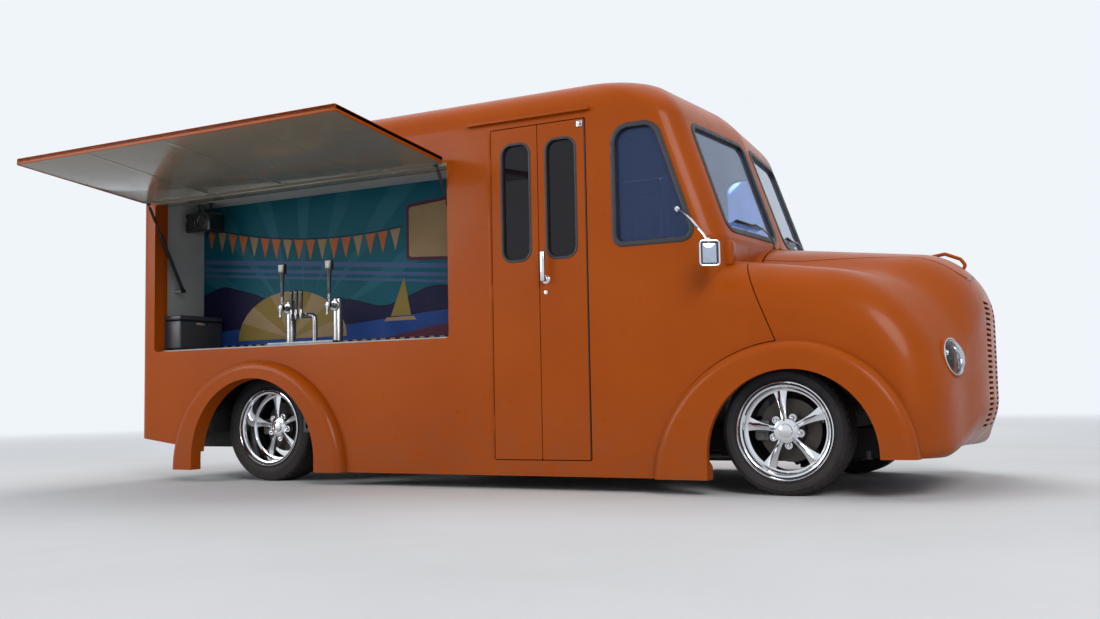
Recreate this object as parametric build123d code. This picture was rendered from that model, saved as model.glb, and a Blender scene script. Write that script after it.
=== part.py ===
from build123d import *

import os
from math import hypot

# A lowered snub-nosed step van fitted out as a food truck.
# Millimetres. X points forward, Y to the left, Z up.
# The origin is on the ground, on the centre line, midway between the axles.

# Stance
BODY_HALF = 880.0
WHEELBASE = 3238.5
FRONT_AXLE_X = WHEELBASE / 2
REAR_AXLE_X = -WHEELBASE / 2
FRONT_TYRE_R = 302.0
REAR_TYRE_R = 325.0
FRONT_TYRE_WIDTH = 215.0
REAR_TYRE_WIDTH = 245.0
FRONT_WHEEL_IN = 155.0
REAR_WHEEL_IN = 268.0
KINGPIN_OFFSET = 115.0
FRONT_WHEEL_Y = BODY_HALF - FRONT_WHEEL_IN
REAR_WHEEL_Y = BODY_HALF - REAR_WHEEL_IN
KINGPIN_Y = FRONT_WHEEL_Y - KINGPIN_OFFSET

# Body shell
TAIL_X = -2551.0
WALL = 45.0
SILL_Z = 75.0
TAIL_FOOT_Z = 268.0
TAIL_RISE_X = -2227.0
TAIL_RISE_Z = 225.0
BELT_Z = 1250.0
WAIST_Z = 1880.0
ROOF_SEAM_Z = 1950.0
SEAM = 6.0
SCREEN_FOOT_X = 1425.0
SCREEN_RAKE = 0.343
SCREEN_SWEEP = 0.085
PILLAR_R = 140.0
TAIL_CORNER_R = 60.0
FLOOR_Z = 300.0
FLOOR_T = 25.0
INSIDE_HALF = BODY_HALF - WALL
INSIDE_TAIL_X = TAIL_X + WALL
DECK_Z = FLOOR_Z + FLOOR_T

# Cowl line, where the front sheet metal starts
COWL_X = 1430.0
COWL_TOP_Z = 1166.0
COWL_FOOT_X = 1609.0
COWL_FOOT_Z = 730.0
COWL_BACK = 230.0

# Cuts and their tools reach this far past what they cut
BEYOND = 10.0
FAR = 4000.0

# Fits: a turning piece in its bore, and a moving piece beside a fixed one
BORE_FIT = 0.05
CLEAR = 5.0

os.makedirs("parts", exist_ok=True)
nodes = {}
SIDES = (("right", -1), ("left", 1))


def block(x, y, z):
    """A box between (low, high) pairs."""
    size = [high - low for low, high in (x, y, z)]
    middle = [(high + low) / 2 for low, high in (x, y, z)]
    return Pos(*middle) * Box(*size)


def about(middle, size):
    """The (low, high) pair of a size about its middle."""
    return (middle - size / 2, middle + size / 2)


def across(half):
    """The (low, high) pair from side to side."""
    return (-half, half)


def span(side, low, high):
    """The Y span at |y| from low to high, on side -1 (right) or +1 (left)."""
    return (low, high) if side > 0 else (-high, -low)


def side_slab(face, y):
    """Extrudes a side-view face (X, Z) across a (low, high) pair of Y."""
    low, high = y
    return extrude(Plane.XZ.offset(-high) * face, high - low)


def plan_slab(face, z):
    """Extrudes a plan-view face (X, Y) up a (low, high) pair of Z."""
    low, high = z
    return extrude(Plane.XY.offset(low) * face, high - low)


def rounded(points, radii):
    """A closed face through the points with each corner rounded."""
    return make_face(FilletPolyline(*points, radius=radii, close=True))


def polygon(*points):
    return make_face(Polyline(*points, close=True))


def opening_face(x, z, radius):
    """A rounded rectangle in the side view."""
    middle = ((x[0] + x[1]) / 2, (z[0] + z[1]) / 2)
    return Pos(*middle) * RectangleRounded(x[1] - x[0], z[1] - z[0], radius)


def disc(x, z, radius):
    return Pos(x, z) * Circle(radius)


def rod(start, end, radius):
    """A round bar between two points."""
    path = Line(start, end)
    return sweep(Plane(origin=start, z_dir=path % 0) * Circle(radius), path=path)


def pipe(points, bend, radius):
    """A round bar bent through points."""
    path = FilletPolyline(*points, radius=bend)
    return sweep(Plane(origin=path @ 0, z_dir=path % 0) * Circle(radius), path=path)


def mirrored(shape):
    return mirror(shape, about=Plane.XZ)


# Hinges: barrels about an axis, the fixed one with a pin and the moving one bored for it
BARREL_L = 45.0
BARREL_GAP = 1.0
PIN_R = 3.0
PIN_REACH = 30.0


def hinge(origin, way, places, radius, fixed_lug=None, moving_lug=None):
    """Barrels at places along an axis with their lugs: those that stay, and those bored to turn."""
    fixed = []
    moving = []
    step = Vector(*way)
    for place in places:
        middle = Vector(*origin) + step * place
        fixed.append(rod(middle - step * BARREL_L, middle - step * BARREL_GAP / 2, radius))
        fixed.append(rod(middle - step * BARREL_L, middle + step * PIN_REACH, PIN_R))
        if fixed_lug:
            fixed.append(fixed_lug((place - BARREL_L, place - BARREL_GAP / 2)))
        turning = rod(middle + step * BARREL_GAP / 2, middle + step * BARREL_L, radius)
        if moving_lug:
            turning += moving_lug((place + BARREL_GAP / 2, place + BARREL_L))
        moving.append(turning - rod(middle, middle + step * (BARREL_L + BEYOND), PIN_R + BORE_FIT))
    return fixed, moving


def clearance(origin, way, places, radius):
    """The rooms that one piece's barrels take from the other piece."""
    rooms = []
    step = Vector(*way)
    for place in places:
        middle = Vector(*origin) + step * place
        rooms.append(rod(middle - step * BARREL_L, middle + step * BARREL_L, radius))
    return rooms


# Body form, plan outlines stacked up from the waist to the crown.
# Columns: height, share of the half width, front at the centre line, distance ahead of the tail,
# pillar radius, tail radius
ROOF_SECTIONS = (
    (1930.0, 1.0, 1185.0, 0.0, 150.0, 70.0),
    (2000.0, 0.986, 1128.0, 8.0, 180.0, 110.0),
    (2075.0, 0.932, 1032.0, 41.0, 230.0, 170.0),
    (2128.0, 0.818, 930.0, 101.0, 280.0, 220.0),
    (2172.0, 0.636, 790.0, 211.0, 300.0, 260.0),
    (2206.0, 0.398, 560.0, 411.0, 240.0, 220.0),
    (2222.0, 0.170, 330.0, 651.0, 120.0, 110.0),
    (2225.0, 0.068, 200.0, 851.0, 50.0, 45.0),
)
CROWN_Z = ROOF_SECTIONS[-1][0]


def screen_x(z, y=0.0):
    """Where the windscreen's plane lies."""
    return SCREEN_FOOT_X - SCREEN_RAKE * (z - BELT_Z) - SCREEN_SWEEP * abs(y)


def plan_outline(half, front, tail, front_r, tail_r):
    """Plan of the body: a square tail, and a front with a slight V."""
    corner_x = front - SCREEN_SWEEP * half
    points = [(tail, -half), (corner_x, -half), (front, 0), (corner_x, half), (tail, half)]
    return rounded(points, [tail_r, front_r, 0, front_r, tail_r])


def body_form(inset, low):
    """The body's form from a height up, drawn in by inset."""
    keep = 1 - inset / BODY_HALF
    straight = []
    for z in (low, WAIST_Z):
        front = screen_x(z) - inset
        half = BODY_HALF - inset
        outline = plan_outline(half, front, TAIL_X + inset, PILLAR_R * keep, TAIL_CORNER_R * keep)
        straight.append(Plane.XY.offset(z) * outline)
    curved = straight[1:]
    for z, share, front, from_tail, front_r, tail_r in ROOF_SECTIONS:
        half = share * (BODY_HALF - inset)
        tail = TAIL_X + from_tail + share * inset
        outline = plan_outline(half, front - share * inset, tail, front_r * keep, tail_r * keep)
        height = WAIST_Z + (z - WAIST_Z) * (1 - inset / (CROWN_Z - WAIST_Z))
        curved.append(Plane.XY.offset(height) * outline)
    return loft(straight, ruled=True) + loft(curved)


# Front sheet metal, side-view sections stood across the nose.
# Columns: share of the half width, height at the cowl, height at the nose,
# front, top radius, lower radius
NOSE_SECTIONS = (
    (0.0, 1250.0, 1135.0, 2463.0, 340.0, 260.0),
    (0.284, 1228.0, 1116.0, 2452.0, 345.0, 250.0),
    (0.455, 1178.0, 1075.0, 2420.0, 380.0, 190.0),
    (0.591, 1112.0, 1010.0, 2388.0, 440.0, 120.0),
    (0.705, 1114.0, 1000.0, 2368.0, 530.0, 80.0),
    (0.795, 1124.0, 993.0, 2350.0, 600.0, 60.0),
    (0.898, 1093.0, 962.0, 2310.0, 590.0, 60.0),
    (0.966, 1025.0, 895.0, 2255.0, 550.0, 60.0),
    (0.994, 950.0, 820.0, 2205.0, 500.0, 60.0),
    (1.0, 900.0, 775.0, 2185.0, 480.0, 60.0),
)
NOSE_LOW_Z = 180.0
NOSE_TRIM = 3.0
NOSE_UNDER_X = 2190.0
NOSE_UNDER_Z = 240.0
FENDER_WALL = 30.0
SHOULDER_Z = 880.0


def nose_outline(cowl_z, nose_z, front, top_r, low_r, inset):
    """Side view of the nose at one distance from the centre line."""
    rear = COWL_X - COWL_BACK
    rear_z = cowl_z + (cowl_z - nose_z) * COWL_BACK / (front - COWL_X)
    low = NOSE_LOW_Z + inset - NOSE_TRIM
    points = [(rear, low), (rear, rear_z - inset), (front - inset, nose_z - inset), (front - inset, low)]
    return rounded(points, [0, 0, top_r - inset, low_r - inset])


def nose_form(inset):
    sections = []
    for side in (-1, 1):
        rows = NOSE_SECTIONS[::-1] if side < 0 else NOSE_SECTIONS[1:]
        for share, cowl_z, nose_z, front, top_r, low_r in rows:
            place = side * share * (BODY_HALF - inset)
            outline = nose_outline(cowl_z, nose_z, front, top_r, low_r, inset)
            sections.append(Plane.XZ.offset(-place) * outline)
    trimmed = block((0, FAR), across(BODY_HALF), (NOSE_LOW_Z + inset, BELT_Z + WALL))
    return loft(sections) & trimmed


upper_outer = body_form(0, BELT_Z)
upper_inner = body_form(WALL, BELT_Z - WALL)
nose_outer = nose_form(0)
nose_inner = nose_form(FENDER_WALL)


def lower_form():
    """The body below the belt: plain sides, the pillars' feet and the cowl behind the fenders."""
    sides = plan_slab(
        rounded(
            [
                (TAIL_X, -BODY_HALF),
                (COWL_FOOT_X, -BODY_HALF),
                (COWL_FOOT_X, BODY_HALF),
                (TAIL_X, BODY_HALF),
            ],
            [TAIL_CORNER_R, 0, 0, TAIL_CORNER_R],
        ),
        (SILL_Z - SEAM, SHOULDER_Z),
    )
    plan = plan_outline(BODY_HALF, SCREEN_FOOT_X, TAIL_X, PILLAR_R, TAIL_CORNER_R)
    feet = plan_slab(plan, (SHOULDER_Z, BELT_Z))
    behind = block((0, COWL_FOOT_X), across(BODY_HALF), (SHOULDER_Z, BELT_Z))
    return sides + feet + (nose_outer & behind)


shell_outer = upper_outer + lower_form()

# Side panels: each a whole side, cut for its door, window, arches and hatch
REAR_ARCH_X, REAR_ARCH_Z, REAR_ARCH_R = -1567.0, 147.0, 477.0
REAR_FLARE_Z, REAR_FLARE_R = 71.0, 661.0
FRONT_ARCH_X, FRONT_ARCH_Z, FRONT_ARCH_R = 1677.0, 191.0, 400.0
FRONT_FLARE_R = 563.0
FRONT_FLARE_TAIL_R = 688.0
FLARE_TOP_Z = 724.0
FLARE_REACH = 60.0
FLARE_ROOT = 20.0
FLARE_LIP_REACH = 25.0
FLARE_OUT = BODY_HALF + FLARE_REACH
FLARE_IN = BODY_HALF - FLARE_ROOT
FLARE_ROUND = 50.0
FLARE_LIP = BODY_HALF + FLARE_LIP_REACH
SIDE_WINDOW = ((797.0, 1235.0), (1237.0, 1235.0), (1034.0, 1846.0), (797.0, 1846.0))
SIDE_WINDOW_R = (50.0, 60.0, 90.0, 90.0)
PILLAR_SPLIT = 30.0
HATCH_X = (-2430.0, -200.0)
HATCH_Z = (810.0, 1760.0)
HATCH_CORNER_R = 25.0
DOOR_X = (80.0, 650.0)
DOOR_Z = (155.0, 1915.0)
DOOR_T = 38.0
DOOR_CORNER_R = 12.0
DOOR_HINGE_X = DOOR_X[0] - 1
DOOR_HINGES_Z = (350.0, 1035.0, 1720.0)
DOOR_BARREL_R = 5.0
AWNING_T = 36.0
AWNING_HINGE_Y = BODY_HALF + SEAM + AWNING_T / 2
AWNING_HINGE_Z = 1780.0
AWNING_BARREL_R = 8.0
AWNING_HINGES_X = (-2400.0, -1888.0, -1375.0, -862.0, -350.0)
AWNING_AXIS = (0, -AWNING_HINGE_Y, AWNING_HINGE_Z)
UP = (0, 0, 1)
ALONG = (1, 0, 0)
LEFTWARD = (0, 1, 0)


def cowl_line(offset):
    """The cowl line as points from the belt down, moved back by offset."""
    return [
        (COWL_X - offset, BELT_Z),
        (COWL_X - offset, COWL_TOP_Z),
        (COWL_FOOT_X - offset, COWL_FOOT_Z),
        (COWL_FOOT_X - offset, SILL_Z),
    ]


def side_outline():
    """Side view of a side panel, before its openings."""
    foot, head = SIDE_WINDOW[1], SIDE_WINDOW[2]
    slope = (head[0] - foot[0]) / (head[1] - foot[1])
    split_foot = foot[0] + PILLAR_SPLIT + slope * (BELT_Z - foot[1])
    split_head = split_foot + slope * (ROOF_SEAM_Z - BELT_Z)
    return polygon(
        (TAIL_X, TAIL_FOOT_Z),
        (TAIL_RISE_X, TAIL_RISE_Z),
        (REAR_ARCH_X, SILL_Z),
        *reversed(cowl_line(SEAM)),
        (split_foot, BELT_Z),
        (split_head, ROOF_SEAM_Z),
        (TAIL_X, ROOF_SEAM_Z),
    )


def arch_opening(x, z, radius):
    """A wheel arch down to the ground."""
    return disc(x, z, radius) + Pos(x, z / 2) * Rectangle(2 * radius, z)


def front_flare_face(grow):
    """Side view of the front arch's band: a tight front arc and a wider tail arc."""
    top = FLARE_TOP_Z + grow
    face = None
    for radius, way in ((FRONT_FLARE_R + grow, 1), (FRONT_FLARE_TAIL_R + grow, -1)):
        half = Pos(FRONT_ARCH_X + way * radius / 2, top - radius) * Rectangle(radius, 2 * radius)
        part = disc(FRONT_ARCH_X, top - radius, radius) & half
        face = part if face is None else face + part
    return face


def flare_band(face, side):
    """A flare: its side view made solid, its outer edge rounded."""
    band = side_slab(face, span(side, FLARE_IN, FLARE_OUT))
    outer = band.faces().sort_by(Axis.Y)[0 if side < 0 else -1]
    rim = [edge for edge in outer.edges() if edge.geom_type == GeomType.CIRCLE]
    return fillet(rim, FLARE_ROUND)


def side_panel(side):
    panel = shell_outer & side_slab(side_outline(), span(side, INSIDE_HALF, BODY_HALF + BEYOND))
    cut = span(side, INSIDE_HALF - WALL, FLARE_OUT + BEYOND)
    flare = disc(REAR_ARCH_X, REAR_FLARE_Z, REAR_FLARE_R)
    flare -= Pos(REAR_ARCH_X, SILL_Z - REAR_FLARE_R) * Rectangle(4 * REAR_FLARE_R, 2 * REAR_FLARE_R)
    panel += flare_band(flare, side)
    panel -= side_slab(arch_opening(REAR_ARCH_X, REAR_ARCH_Z, REAR_ARCH_R), cut)
    panel -= side_slab(front_flare_face(SEAM), cut)
    panel -= side_slab(rounded(SIDE_WINDOW, SIDE_WINDOW_R), cut)
    panel -= side_slab(opening_face(DOOR_X, DOOR_Z, DOOR_CORNER_R), cut)
    axis = (DOOR_HINGE_X, side * BODY_HALF, 0)
    panel -= clearance(axis, UP, DOOR_HINGES_Z, DOOR_BARREL_R + 1)
    panel += hinge(axis, UP, DOOR_HINGES_Z, DOOR_BARREL_R)[0]
    return panel


def awning_wall_lug(x):
    return block(x, (-AWNING_HINGE_Y, -BODY_HALF), about(AWNING_HINGE_Z, AWNING_BARREL_R))


left_panel = side_panel(1)
right_panel = mirrored(left_panel)
hatch = opening_face(HATCH_X, HATCH_Z, HATCH_CORNER_R)
right_panel -= side_slab(hatch, span(-1, INSIDE_HALF - WALL, BODY_HALF + BEYOND))
right_panel += hinge(AWNING_AXIS, ALONG, AWNING_HINGES_X, AWNING_BARREL_R, awning_wall_lug)[0]
nodes["side_left"] = left_panel
nodes["side_right"] = right_panel

# Roof, down to the seam over the side panels
DRIP_X = (-54.0, 676.0)
DRIP_OUT = 22.0
DRIP_T = 14.0
roof_z = (ROOF_SEAM_Z, CROWN_Z + WALL)
roof = upper_outer & block((TAIL_X - BEYOND, COWL_X), across(BODY_HALF + BEYOND), roof_z)
roof -= upper_inner
for name, side in SIDES:
    drip_y = span(side, BODY_HALF - WALL / 2, BODY_HALF + DRIP_OUT)
    roof += block(DRIP_X, drip_y, (ROOF_SEAM_Z, ROOF_SEAM_Z + DRIP_T))
nodes["roof"] = roof

# Tail: a frame round two doors
REAR_CORNER_POST = 240.0
REAR_DOOR_HALF = BODY_HALF - REAR_CORNER_POST
REAR_DOOR_Z = (330.0, 1850.0)
REAR_DOOR_T = 36.0
REAR_DOOR_GAP = 6.0
REAR_DOOR_MEET = 4.0
REAR_HANDLE_Y = (60.0, 80.0)
REAR_HANDLE_Z = (1020.0, 1160.0)
REAR_HANDLE_OUT = 35.0
REAR_BARREL_R = 6.0
REAR_HINGES_Z = (480.0, 1090.0, 1700.0)
REAR_LEAF = 28.0

rear_frame = block((TAIL_X, INSIDE_TAIL_X), across(INSIDE_HALF), (TAIL_FOOT_Z, ROOF_SEAM_Z))
tail_through = (TAIL_X - BEYOND, INSIDE_TAIL_X + BEYOND)
rear_frame -= block(tail_through, across(REAR_DOOR_HALF), REAR_DOOR_Z)
leaf_x = (TAIL_X - REAR_BARREL_R, TAIL_X)
for name, side in SIDES:
    outward = span(side, REAR_DOOR_HALF, REAR_DOOR_HALF + REAR_LEAF)
    inward = span(side, REAR_DOOR_HALF - REAR_LEAF, REAR_DOOR_HALF)
    axis = (TAIL_X - REAR_BARREL_R, side * REAR_DOOR_HALF, 0)
    fixed, moving = hinge(
        axis,
        UP,
        REAR_HINGES_Z,
        REAR_BARREL_R,
        lambda z: block(leaf_x, outward, z),
        lambda z: block(leaf_x, inward, z),
    )
    door = block(
        (TAIL_X, TAIL_X + REAR_DOOR_T),
        span(side, REAR_DOOR_MEET, REAR_DOOR_HALF - REAR_DOOR_GAP),
        (REAR_DOOR_Z[0] + REAR_DOOR_GAP, REAR_DOOR_Z[1] - REAR_DOOR_GAP),
    )
    door += block((TAIL_X - REAR_HANDLE_OUT, TAIL_X), span(side, *REAR_HANDLE_Y), REAR_HANDLE_Z)
    door += moving
    rear_frame += fixed
    nodes[f"rear_door_{name}"] = door
nodes["rear_frame"] = rear_frame

# Cab front: windscreen frame, pillars, cowl, firewall and dashboard
SCREEN_CORNER_POST = 150.0
SCREEN_Y = (60.0, BODY_HALF - SCREEN_CORNER_POST)
SCREEN_Z = (1290.0, 1850.0)
SCREEN_R = 70.0
COWL_T = 30.0
COWL_REAR_X = 1150.0
FIREWALL_X = 1380.0
TOE_Z = 700.0
DASH_X = 1180.0
DASH_HALF = INSIDE_HALF - WALL
DASH_Z = 1130.0
CORNER_X = COWL_X - COWL_BACK
CORNER_Z = 980.0
CORNER_IN = 445.0
HOOD_HINGE_X = 1436.0
HOOD_BARREL_R = 6.0
HOOD_HINGES_Y = (-90.0, 90.0)


def screen_pane(side, margin, depth):
    """One windscreen pane as a slab that follows the raked V."""
    low, high = SCREEN_Y[0] + margin, SCREEN_Y[1] - margin
    foot, head = SCREEN_Z[0] + margin, SCREEN_Z[1] - margin
    middle_y, middle_z = side * (low + high) / 2, (foot + head) / 2
    width_way = Vector(-SCREEN_SWEEP, side, 0) * side
    normal = width_way.cross(Vector(-SCREEN_RAKE, 0, 1)).normalized()
    plane = Plane(origin=(screen_x(middle_z, middle_y), middle_y, middle_z), x_dir=width_way, z_dir=normal)
    face = RectangleRounded(high - low, (head - foot) * hypot(1, SCREEN_RAKE), SCREEN_R - margin)
    start, end = depth
    return extrude(plane.offset(start) * face, end - start)


def cowl_corner(side):
    """The shell between the firewall and the cowl line, beside the hood."""
    run = (COWL_FOOT_X - COWL_X) / (COWL_TOP_Z - COWL_FOOT_Z)
    face = polygon(
        (CORNER_X, CORNER_Z),
        (COWL_X - SEAM + run * (COWL_TOP_Z - CORNER_Z), CORNER_Z),
        (COWL_X - SEAM, COWL_TOP_Z),
        (COWL_X - SEAM, BELT_Z),
        (CORNER_X, BELT_Z),
    )
    return shell_outer & side_slab(face, span(side, CORNER_IN, INSIDE_HALF))


side_walls = side_slab(side_outline(), span(-1, INSIDE_HALF, BODY_HALF + WALL))
side_walls += side_slab(side_outline(), span(1, INSIDE_HALF, BODY_HALF + WALL))
cab_x = (SIDE_WINDOW[2][0] - WALL, COWL_X)
cab = upper_outer & block(cab_x, across(BODY_HALF + BEYOND), (BELT_Z, ROOF_SEAM_Z))
cab -= upper_inner
cab -= side_walls
cab += shell_outer & block((FIREWALL_X, COWL_X - SEAM), across(INSIDE_HALF), (TOE_Z, BELT_Z))
cab += shell_outer & block((COWL_REAR_X, FIREWALL_X), across(INSIDE_HALF), (BELT_Z - COWL_T, BELT_Z))
cab += block((DASH_X, FIREWALL_X), across(DASH_HALF), (DASH_Z, BELT_Z - COWL_T))
for name, side in SIDES:
    cab += cowl_corner(side)
    cab -= screen_pane(side, 0, (-2 * WALL, WALL + BEYOND))
hood_axis = (HOOD_HINGE_X, 0, BELT_Z)
hood_lug_z = (BELT_Z - HOOD_BARREL_R, BELT_Z)
hood_fixed, hood_moving = hinge(
    hood_axis,
    LEFTWARD,
    HOOD_HINGES_Y,
    HOOD_BARREL_R,
    lambda y: block((COWL_X - 2 * SEAM, HOOD_HINGE_X), y, hood_lug_z),
    lambda y: block((HOOD_HINGE_X, HOOD_HINGE_X + 3 * HOOD_BARREL_R), y, hood_lug_z),
)
cab += hood_fixed
nodes["cab_front"] = cab

GLASS_T = 6.0
GLASS_FIT = 1.0
SCREEN_DEEP = 12.0
SIDE_GLASS_DEEP = 28.0
glass = []
for name, side in SIDES:
    glass.append(screen_pane(side, GLASS_FIT, (-SCREEN_DEEP - GLASS_T, -SCREEN_DEEP)))
    pane = offset(rounded(SIDE_WINDOW, SIDE_WINDOW_R), -GLASS_FIT)
    glass_y = span(side, BODY_HALF - SIDE_GLASS_DEEP, BODY_HALF - SIDE_GLASS_DEEP + GLASS_T)
    glass.append(side_slab(pane, glass_y))
nodes["cab_glass"] = Compound(glass)

# Front sheet metal ahead of the cowl line, on a cross wall at the rails' ends
RAIL_Y = 400.0
RAIL_W = 60.0
RAIL_Z = (190.0, FLOOR_Z)
RAIL_X = (-2450.0, 2140.0)
NOSE_WALL_T = 20.0
NOSE_WALL_TOP = 860.0
ahead = polygon(
    (COWL_X, BELT_Z + WALL),
    (COWL_X, COWL_TOP_Z),
    (COWL_FOOT_X, COWL_FOOT_Z),
    (COWL_FOOT_X, 0),
    (FAR, 0),
    (FAR, BELT_Z + WALL),
)
room = nose_inner - block(
    (RAIL_X[1], RAIL_X[1] + NOSE_WALL_T), across(BODY_HALF), (RAIL_Z[0], NOSE_WALL_TOP)
)
nose_shell = (nose_outer - room) & side_slab(ahead, across(BODY_HALF + BEYOND))
nose_shell -= block((COWL_X, RAIL_X[1]), across(BODY_HALF + BEYOND), (0, NOSE_UNDER_Z))

# Hood, cut from the same shell
HOOD_REAR_HALF = 430.0
HOOD_FRONT_HALF = 270.0
HOOD_FRONT_X = 2385.0
HOOD_SIDE_GAP = 8.0
HOOD_FRONT_GAP = 16.0
HOOD_FRONT_R = 90.0
HOOD_STRAIGHT = 200.0
HOOD_SIDE_R = 600.0
HOOD_Z = (SHOULDER_Z, BELT_Z + WALL)


def hood_plan(side_gap, front_gap):
    half_rear = HOOD_REAR_HALF + side_gap
    half_front = HOOD_FRONT_HALF + side_gap
    front = HOOD_FRONT_X + front_gap
    rear = COWL_X - WALL
    waist = COWL_X + HOOD_STRAIGHT
    right = [(rear, -half_rear), (waist, -half_rear), (front, -half_front)]
    left = [(front, half_front), (waist, half_rear), (rear, half_rear)]
    return rounded(right + left, [0, HOOD_SIDE_R, HOOD_FRONT_R, HOOD_FRONT_R, HOOD_SIDE_R, 0])


hood = nose_shell & plan_slab(hood_plan(0, 0), HOOD_Z)
hood -= block((0, COWL_X + SEAM), across(BODY_HALF), HOOD_Z)
hood -= clearance(hood_axis, LEFTWARD, HOOD_HINGES_Y, HOOD_BARREL_R + 1)
hood += hood_moving
front_clip = nose_shell - plan_slab(hood_plan(HOOD_SIDE_GAP, HOOD_FRONT_GAP), HOOD_Z)

# Loop ornament that stands on the hood
LOOP = ((2150, 1140), (2190, 1162), (2255, 1172), (2330, 1140), (2352, 1108), (2330, 1070), (2270, 1045))
LOOP_R = 9.0
LOOP_BEND = 16.0
hood += pipe([(x, 0, z) for x, z in LOOP], LOOP_BEND, LOOP_R)
nodes["hood"] = hood

# Grille: horizontal slots in two columns, in a panel let into the nose
GRILLE_Y = (60.0, 195.0)
GRILLE_Z = (290.0, 912.0)
GRILLE_SLOTS = 24
GRILLE_FRAME = 15.0
GRILLE_DEPTH = 200.0
SLOT_H = 13.0
NOSE_X = NOSE_SECTIONS[0][3]
grille_block = block(
    (NOSE_X - GRILLE_DEPTH, NOSE_X + BEYOND),
    across(GRILLE_Y[1] + GRILLE_FRAME),
    (GRILLE_Z[0] - GRILLE_FRAME, GRILLE_Z[1] + GRILLE_FRAME),
)
slot_pitch = (GRILLE_Z[1] - GRILLE_Z[0]) / GRILLE_SLOTS
slots = []
for index in range(GRILLE_SLOTS):
    slot_z = about(GRILLE_Z[0] + (index + 0.5) * slot_pitch, SLOT_H)
    for name, side in SIDES:
        slots.append(block((NOSE_X - GRILLE_DEPTH, NOSE_X + BEYOND), span(side, *GRILLE_Y), slot_z))
nodes["grille"] = (nose_shell & grille_block) - Compound(slots)
front_clip -= grille_block

# Headlamps let into the fenders
LAMP_IN = 258.0
LAMP_Y = BODY_HALF - LAMP_IN
LAMP_Z = 630.0
LAMP_R = 88.0
LAMP_X = 2375.0
LAMP_DEPTH = 145.0
LAMP_BACK_R = 60.0
LAMP_BARREL = 45.0
BEZEL_T = 12.0
LENS_R = 74.0
LENS_BULGE = 22.0


def headlamp(side):
    """A can with a bezel, and a domed lens that is the cap of a ball."""
    can = polygon(
        (LAMP_X, 0),
        (LAMP_X - LAMP_DEPTH, 0),
        (LAMP_X - LAMP_DEPTH, LAMP_BACK_R),
        (LAMP_X - LAMP_BARREL, LAMP_R),
        (LAMP_X - BEZEL_T / 2, LAMP_R),
        (LAMP_X + BEZEL_T / 2, (LAMP_R + LENS_R) / 2),
        (LAMP_X, LENS_R),
    )
    ball_r = (LENS_R ** 2 + LENS_BULGE ** 2) / (2 * LENS_BULGE)
    ball = Pos(LAMP_X + LENS_BULGE - ball_r, 0, 0) * Rot(0, 90, 0) * Sphere(ball_r)
    lens = ball & block((LAMP_X - GLASS_T, LAMP_X + LENS_BULGE + BEYOND), across(LAMP_R), across(LAMP_R))
    return Pos(0, side * LAMP_Y, LAMP_Z) * (revolve(Plane.XY * can, Axis.X) + lens)


lamps = []
for name, side in SIDES:
    lamp_back = (LAMP_X - LAMP_DEPTH, side * LAMP_Y, LAMP_Z)
    front_clip -= rod(lamp_back, (NOSE_X, side * LAMP_Y, LAMP_Z), LAMP_R)
    lamps.append(headlamp(side))
nodes["headlamps"] = Compound(lamps)

# Front arches: flare band, opening and room for the steered tyre
STEER_ROOM = 75.0
TYRE_ROOM = 13.0
ARCH_DEEP = 60.0
STEER_DEEP = 170.0
ARCH_IN = BODY_HALF - ARCH_DEEP
STEER_IN = KINGPIN_Y - STEER_DEEP
for name, side in SIDES:
    flare = front_flare_face(0)
    flare -= Pos(FRONT_ARCH_X - FAR / 2, SILL_Z - FAR / 2) * Rectangle(FAR, FAR)
    flare -= Pos(FRONT_ARCH_X + FAR / 2, NOSE_LOW_Z - FAR / 2) * Rectangle(FAR, FAR)
    front_clip += flare_band(flare, side)
    opening = arch_opening(FRONT_ARCH_X, FRONT_ARCH_Z, FRONT_ARCH_R)
    front_clip -= side_slab(opening, span(side, ARCH_IN, FLARE_OUT + BEYOND))
    sweep_room = SlotCenterToCenter(2 * STEER_ROOM, 2 * (FRONT_TYRE_R + TYRE_ROOM))
    front_clip -= side_slab(Pos(FRONT_AXLE_X, FRONT_TYRE_R) * sweep_room, span(side, STEER_IN, FLARE_LIP))
nodes["front_clip"] = front_clip

# Floor with step wells, rear wheel houses, axle hump and toe board
SHEET = 15.0
STEP_Z = 120.0
STEP_Y = 560.0
STEP_MARGIN = 30.0
TOE_X = 1165.0
HUMP_Z = 500.0
HUMP_X = 380.0
HOUSE_ROOM = 60.0
HOUSE_GAP = 25.0
AXLE_ROOM = 60.0
TOE_T = 20.0


def rear_house(side):
    """The outside and the hollow of a rear wheel house."""
    x = about(REAR_AXLE_X, 2 * (REAR_TYRE_R + HOUSE_ROOM))
    inner_x = (x[0] + SHEET, x[1] - SHEET)
    hollow_y = REAR_WHEEL_Y - REAR_TYRE_WIDTH / 2 - HOUSE_GAP
    top = 2 * REAR_TYRE_R + HOUSE_ROOM
    outside = block(x, span(side, hollow_y - SHEET, INSIDE_HALF), (FLOOR_Z, top))
    hollow = block(inner_x, span(side, hollow_y, INSIDE_HALF + BEYOND), (0, top - SHEET))
    return outside, hollow


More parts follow.
